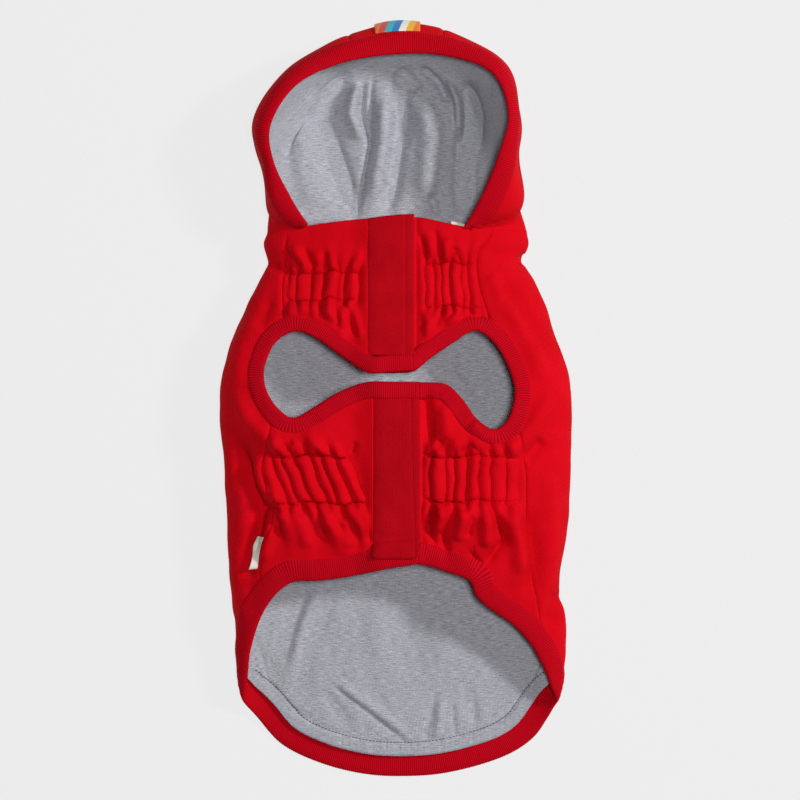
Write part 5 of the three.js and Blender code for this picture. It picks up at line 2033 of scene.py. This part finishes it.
@dataclass
class Studio:
    """Pale floor, a key light from the right, a light overhead and a camera straight above the coat."""

    centre: tuple[float, float] = (2.53, 0.475)
    span: float = 500.0
    focus_height: float = 22.0
    lens: float = 150.0
    film: float = 36.0
    floor_size: float = 6.0
    floor_height: float = -0.0002
    world_strength: float = 0.05
    backdrop: str = "#E4E4E4"
    key: tuple[float, float, tuple[float, float, float]] = (30.0, 0.28, (1.6, 0.6, 1.4))
    top: tuple[float, float, tuple[float, float, float]] = (27.0, 0.25, (0.15, 0.05, 2.3))

    def build(self, floor: StudioPaper) -> None:
        """Builds the floor, the lights and the camera.

        Args:
            floor: Finish of the floor.
        """
        half = self.floor_size / 2
        mesh = bpy.data.meshes.new("studio_floor")
        corners = [(x * half, y * half, self.floor_height) for x, y in ((-1, -1), (1, -1), (1, 1), (-1, 1))]
        mesh.from_pydata(corners, [], [(0, 1, 2, 3)])
        mesh.materials.append(floor.material())
        ground = bpy.data.objects.new("studio_floor", mesh)
        bpy.context.scene.collection.objects.link(ground)
        self._world()
        self._lamp("key_light", *self.key)
        self._lamp("top_light", *self.top)
        self._camera()

    def _world(self) -> None:
        """A soft even sky, which looks paler than it lights."""
        world = bpy.data.worlds.new("soft sky")
        world.use_nodes = True
        tree = world.node_tree
        tree.nodes.clear()
        white = (1, 1, 1, 1)
        light = add(tree, "ShaderNodeBackground", inputs={"Color": white, "Strength": self.world_strength})
        seen = add(tree, "ShaderNodeBackground", inputs={"Color": linear(self.backdrop)})
        straight = add(tree, "ShaderNodeLightPath").outputs["Is Camera Ray"]
        sky = add(tree, "ShaderNodeMixShader", inputs={0: straight, 1: light, 2: seen})
        add(tree, "ShaderNodeOutputWorld", inputs={"Surface": sky})
        bpy.context.scene.world = world

    def _lamp(self, name: str, watts: float, size: float, place: tuple[float, float, float]) -> None:
        """Adds a square soft light that is turned to the coat.

        Args:
            name: Name of the light.
            watts: Its power.
            size: Length of its side in metres.
            place: Where it is, in metres.
        """
        light = bpy.data.lights.new(name, "AREA")
        light.energy, light.size, light.shape = watts, size, "SQUARE"
        lamp = bpy.data.objects.new(name, light)
        lamp.location = place
        lamp.rotation_euler = (-Vector(place)).to_track_quat("-Z", "Y").to_euler()
        bpy.context.scene.collection.objects.link(lamp)

    def _camera(self) -> None:
        """A camera that looks straight down, with the hood at the top of the picture."""
        camera = bpy.data.cameras.new("overhead_camera")
        camera.lens, camera.sensor_width, camera.sensor_fit = self.lens, self.film, "HORIZONTAL"
        camera.clip_start, camera.clip_end = 0.05, 20.0
        eye = bpy.data.objects.new("overhead_camera", camera)
        distance = self.span * self.lens / self.film
        eye.location = Vector((*self.centre, self.focus_height + distance)) * METRE
        bpy.context.scene.collection.objects.link(eye)
        bpy.context.scene.camera = eye
        view = bpy.context.scene.view_settings
        view.view_transform = "Standard"
        view.exposure = 0.0


def line_on_body(x: Array, y: Array, height: Callable[[Array, Array], Array]) -> Array:
    """Lays a line over the belly.

    Args:
        x: Places across, seen from above, in millimetres.
        y: Places along.
        height: Height over the plain surface, worked out from the surface's coordinates.

    Returns:
        The line's points in millimetres.
    """
    b = -y / BODY.length
    a = BODY.angle(x / BODY.half_width, b)
    point, normal, _, _ = frame_at(BODY, a, b)
    return point + normal * height(a, b)[:, None]


@dataclass
class Stitching:
    """Visible seams: the two lines that hold each elastic, and the lining's seam at the hem."""

    pitch: float = 2.6
    thickness: float = 0.26
    rise: float = 0.12
    hem_pitch: float = 2.2
    hem_thickness: float = 0.6
    hem_rise: float = 0.8
    hem_part: tuple[float, float] = (0.29, 0.645)

    def elastic_lines(self, gathers: Gathers) -> list[Array]:
        """The two stitch lines of an elastic strip.

        Args:
            gathers: The tucks that it draws up.

        Returns:
            Two lines of points in millimetres.
        """
        margin = 1.0
        x = np.linspace(min(gathers.tucks) - margin, max(gathers.tucks) + margin, 220)

        def height(a: Array, b: Array) -> Array:
            """Height of the stitches on the gathered cloth."""
            point = BODY.point(a, b)
            return body_relief(a, b) + gathers.height(point) + self.rise

        return [line_on_body(x, gathers.wander(x) - down, height) for down in (gathers.top, gathers.bottom)]

    def hem_line(self, lining: Lining) -> Array:
        """The lining's seam line, inside the hem binding on the floor side.

        Args:
            lining: The lining that it lies on.

        Returns:
            The line's points in millimetres.
        """
        first, last = self.hem_part
        s = HEM.fine[(HEM.fine > first) & (HEM.fine < last)]
        a, b = HEM.beside(s, -1, np.full(s.shape, HEM_BINDING + lining.allowance))
        point, normal, _, _ = frame_at(BODY, a, b)
        depth = lining.clearance + lining.shell_wall + lining.wall + self.hem_rise
        return point - normal * (depth - lining.body_height(a, b))[:, None]

    def build(self, finishes: Finishes, lining: Lining) -> list[Piece]:
        """Sews the stitch lines.

        Args:
            finishes: The coat's materials.
            lining: The lining that the hem's seam lies on.

        Returns:
            The stitches of the elastics and those of the lining.
        """
        needle = StitchTree()
        gathered = NECK_LEFT, NECK_RIGHT, CHEST_LEFT, CHEST_RIGHT
        lines = [line for gathers in gathered for line in self.elastic_lines(gathers)]
        elastic = needle.sew("elastic_stitching", lines, self.pitch, self.thickness, finishes.thread)
        dark, seam = finishes.dark_thread, [self.hem_line(lining)]
        hem = needle.sew("lining_stitching", seam, self.hem_pitch, self.hem_thickness, dark)
        return [Piece(elastic, (), "fleece"), Piece(hem, (), "jersey")]


def main() -> None:
    """Builds the coat and its studio."""
    logging.basicConfig(level=logging.INFO, format="%(name)s: %(message)s")
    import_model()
    finishes = Finishes()
    shell = Shell()
    pieces = shell.build(finishes)
    lining = Lining()
    pieces += lining.build(finishes, shell)
    pieces += Hood().build(finishes)
    pieces += Bindings().build(finishes)
    pieces += Closures().build(finishes)
    pieces += Labels().build(finishes)
    pieces += Stitching().build(finishes, lining)
    for piece in pieces:
        piece.declare()
    Studio().build(StudioPaper("studio paper"))


if __name__ == "__main__":
    main()
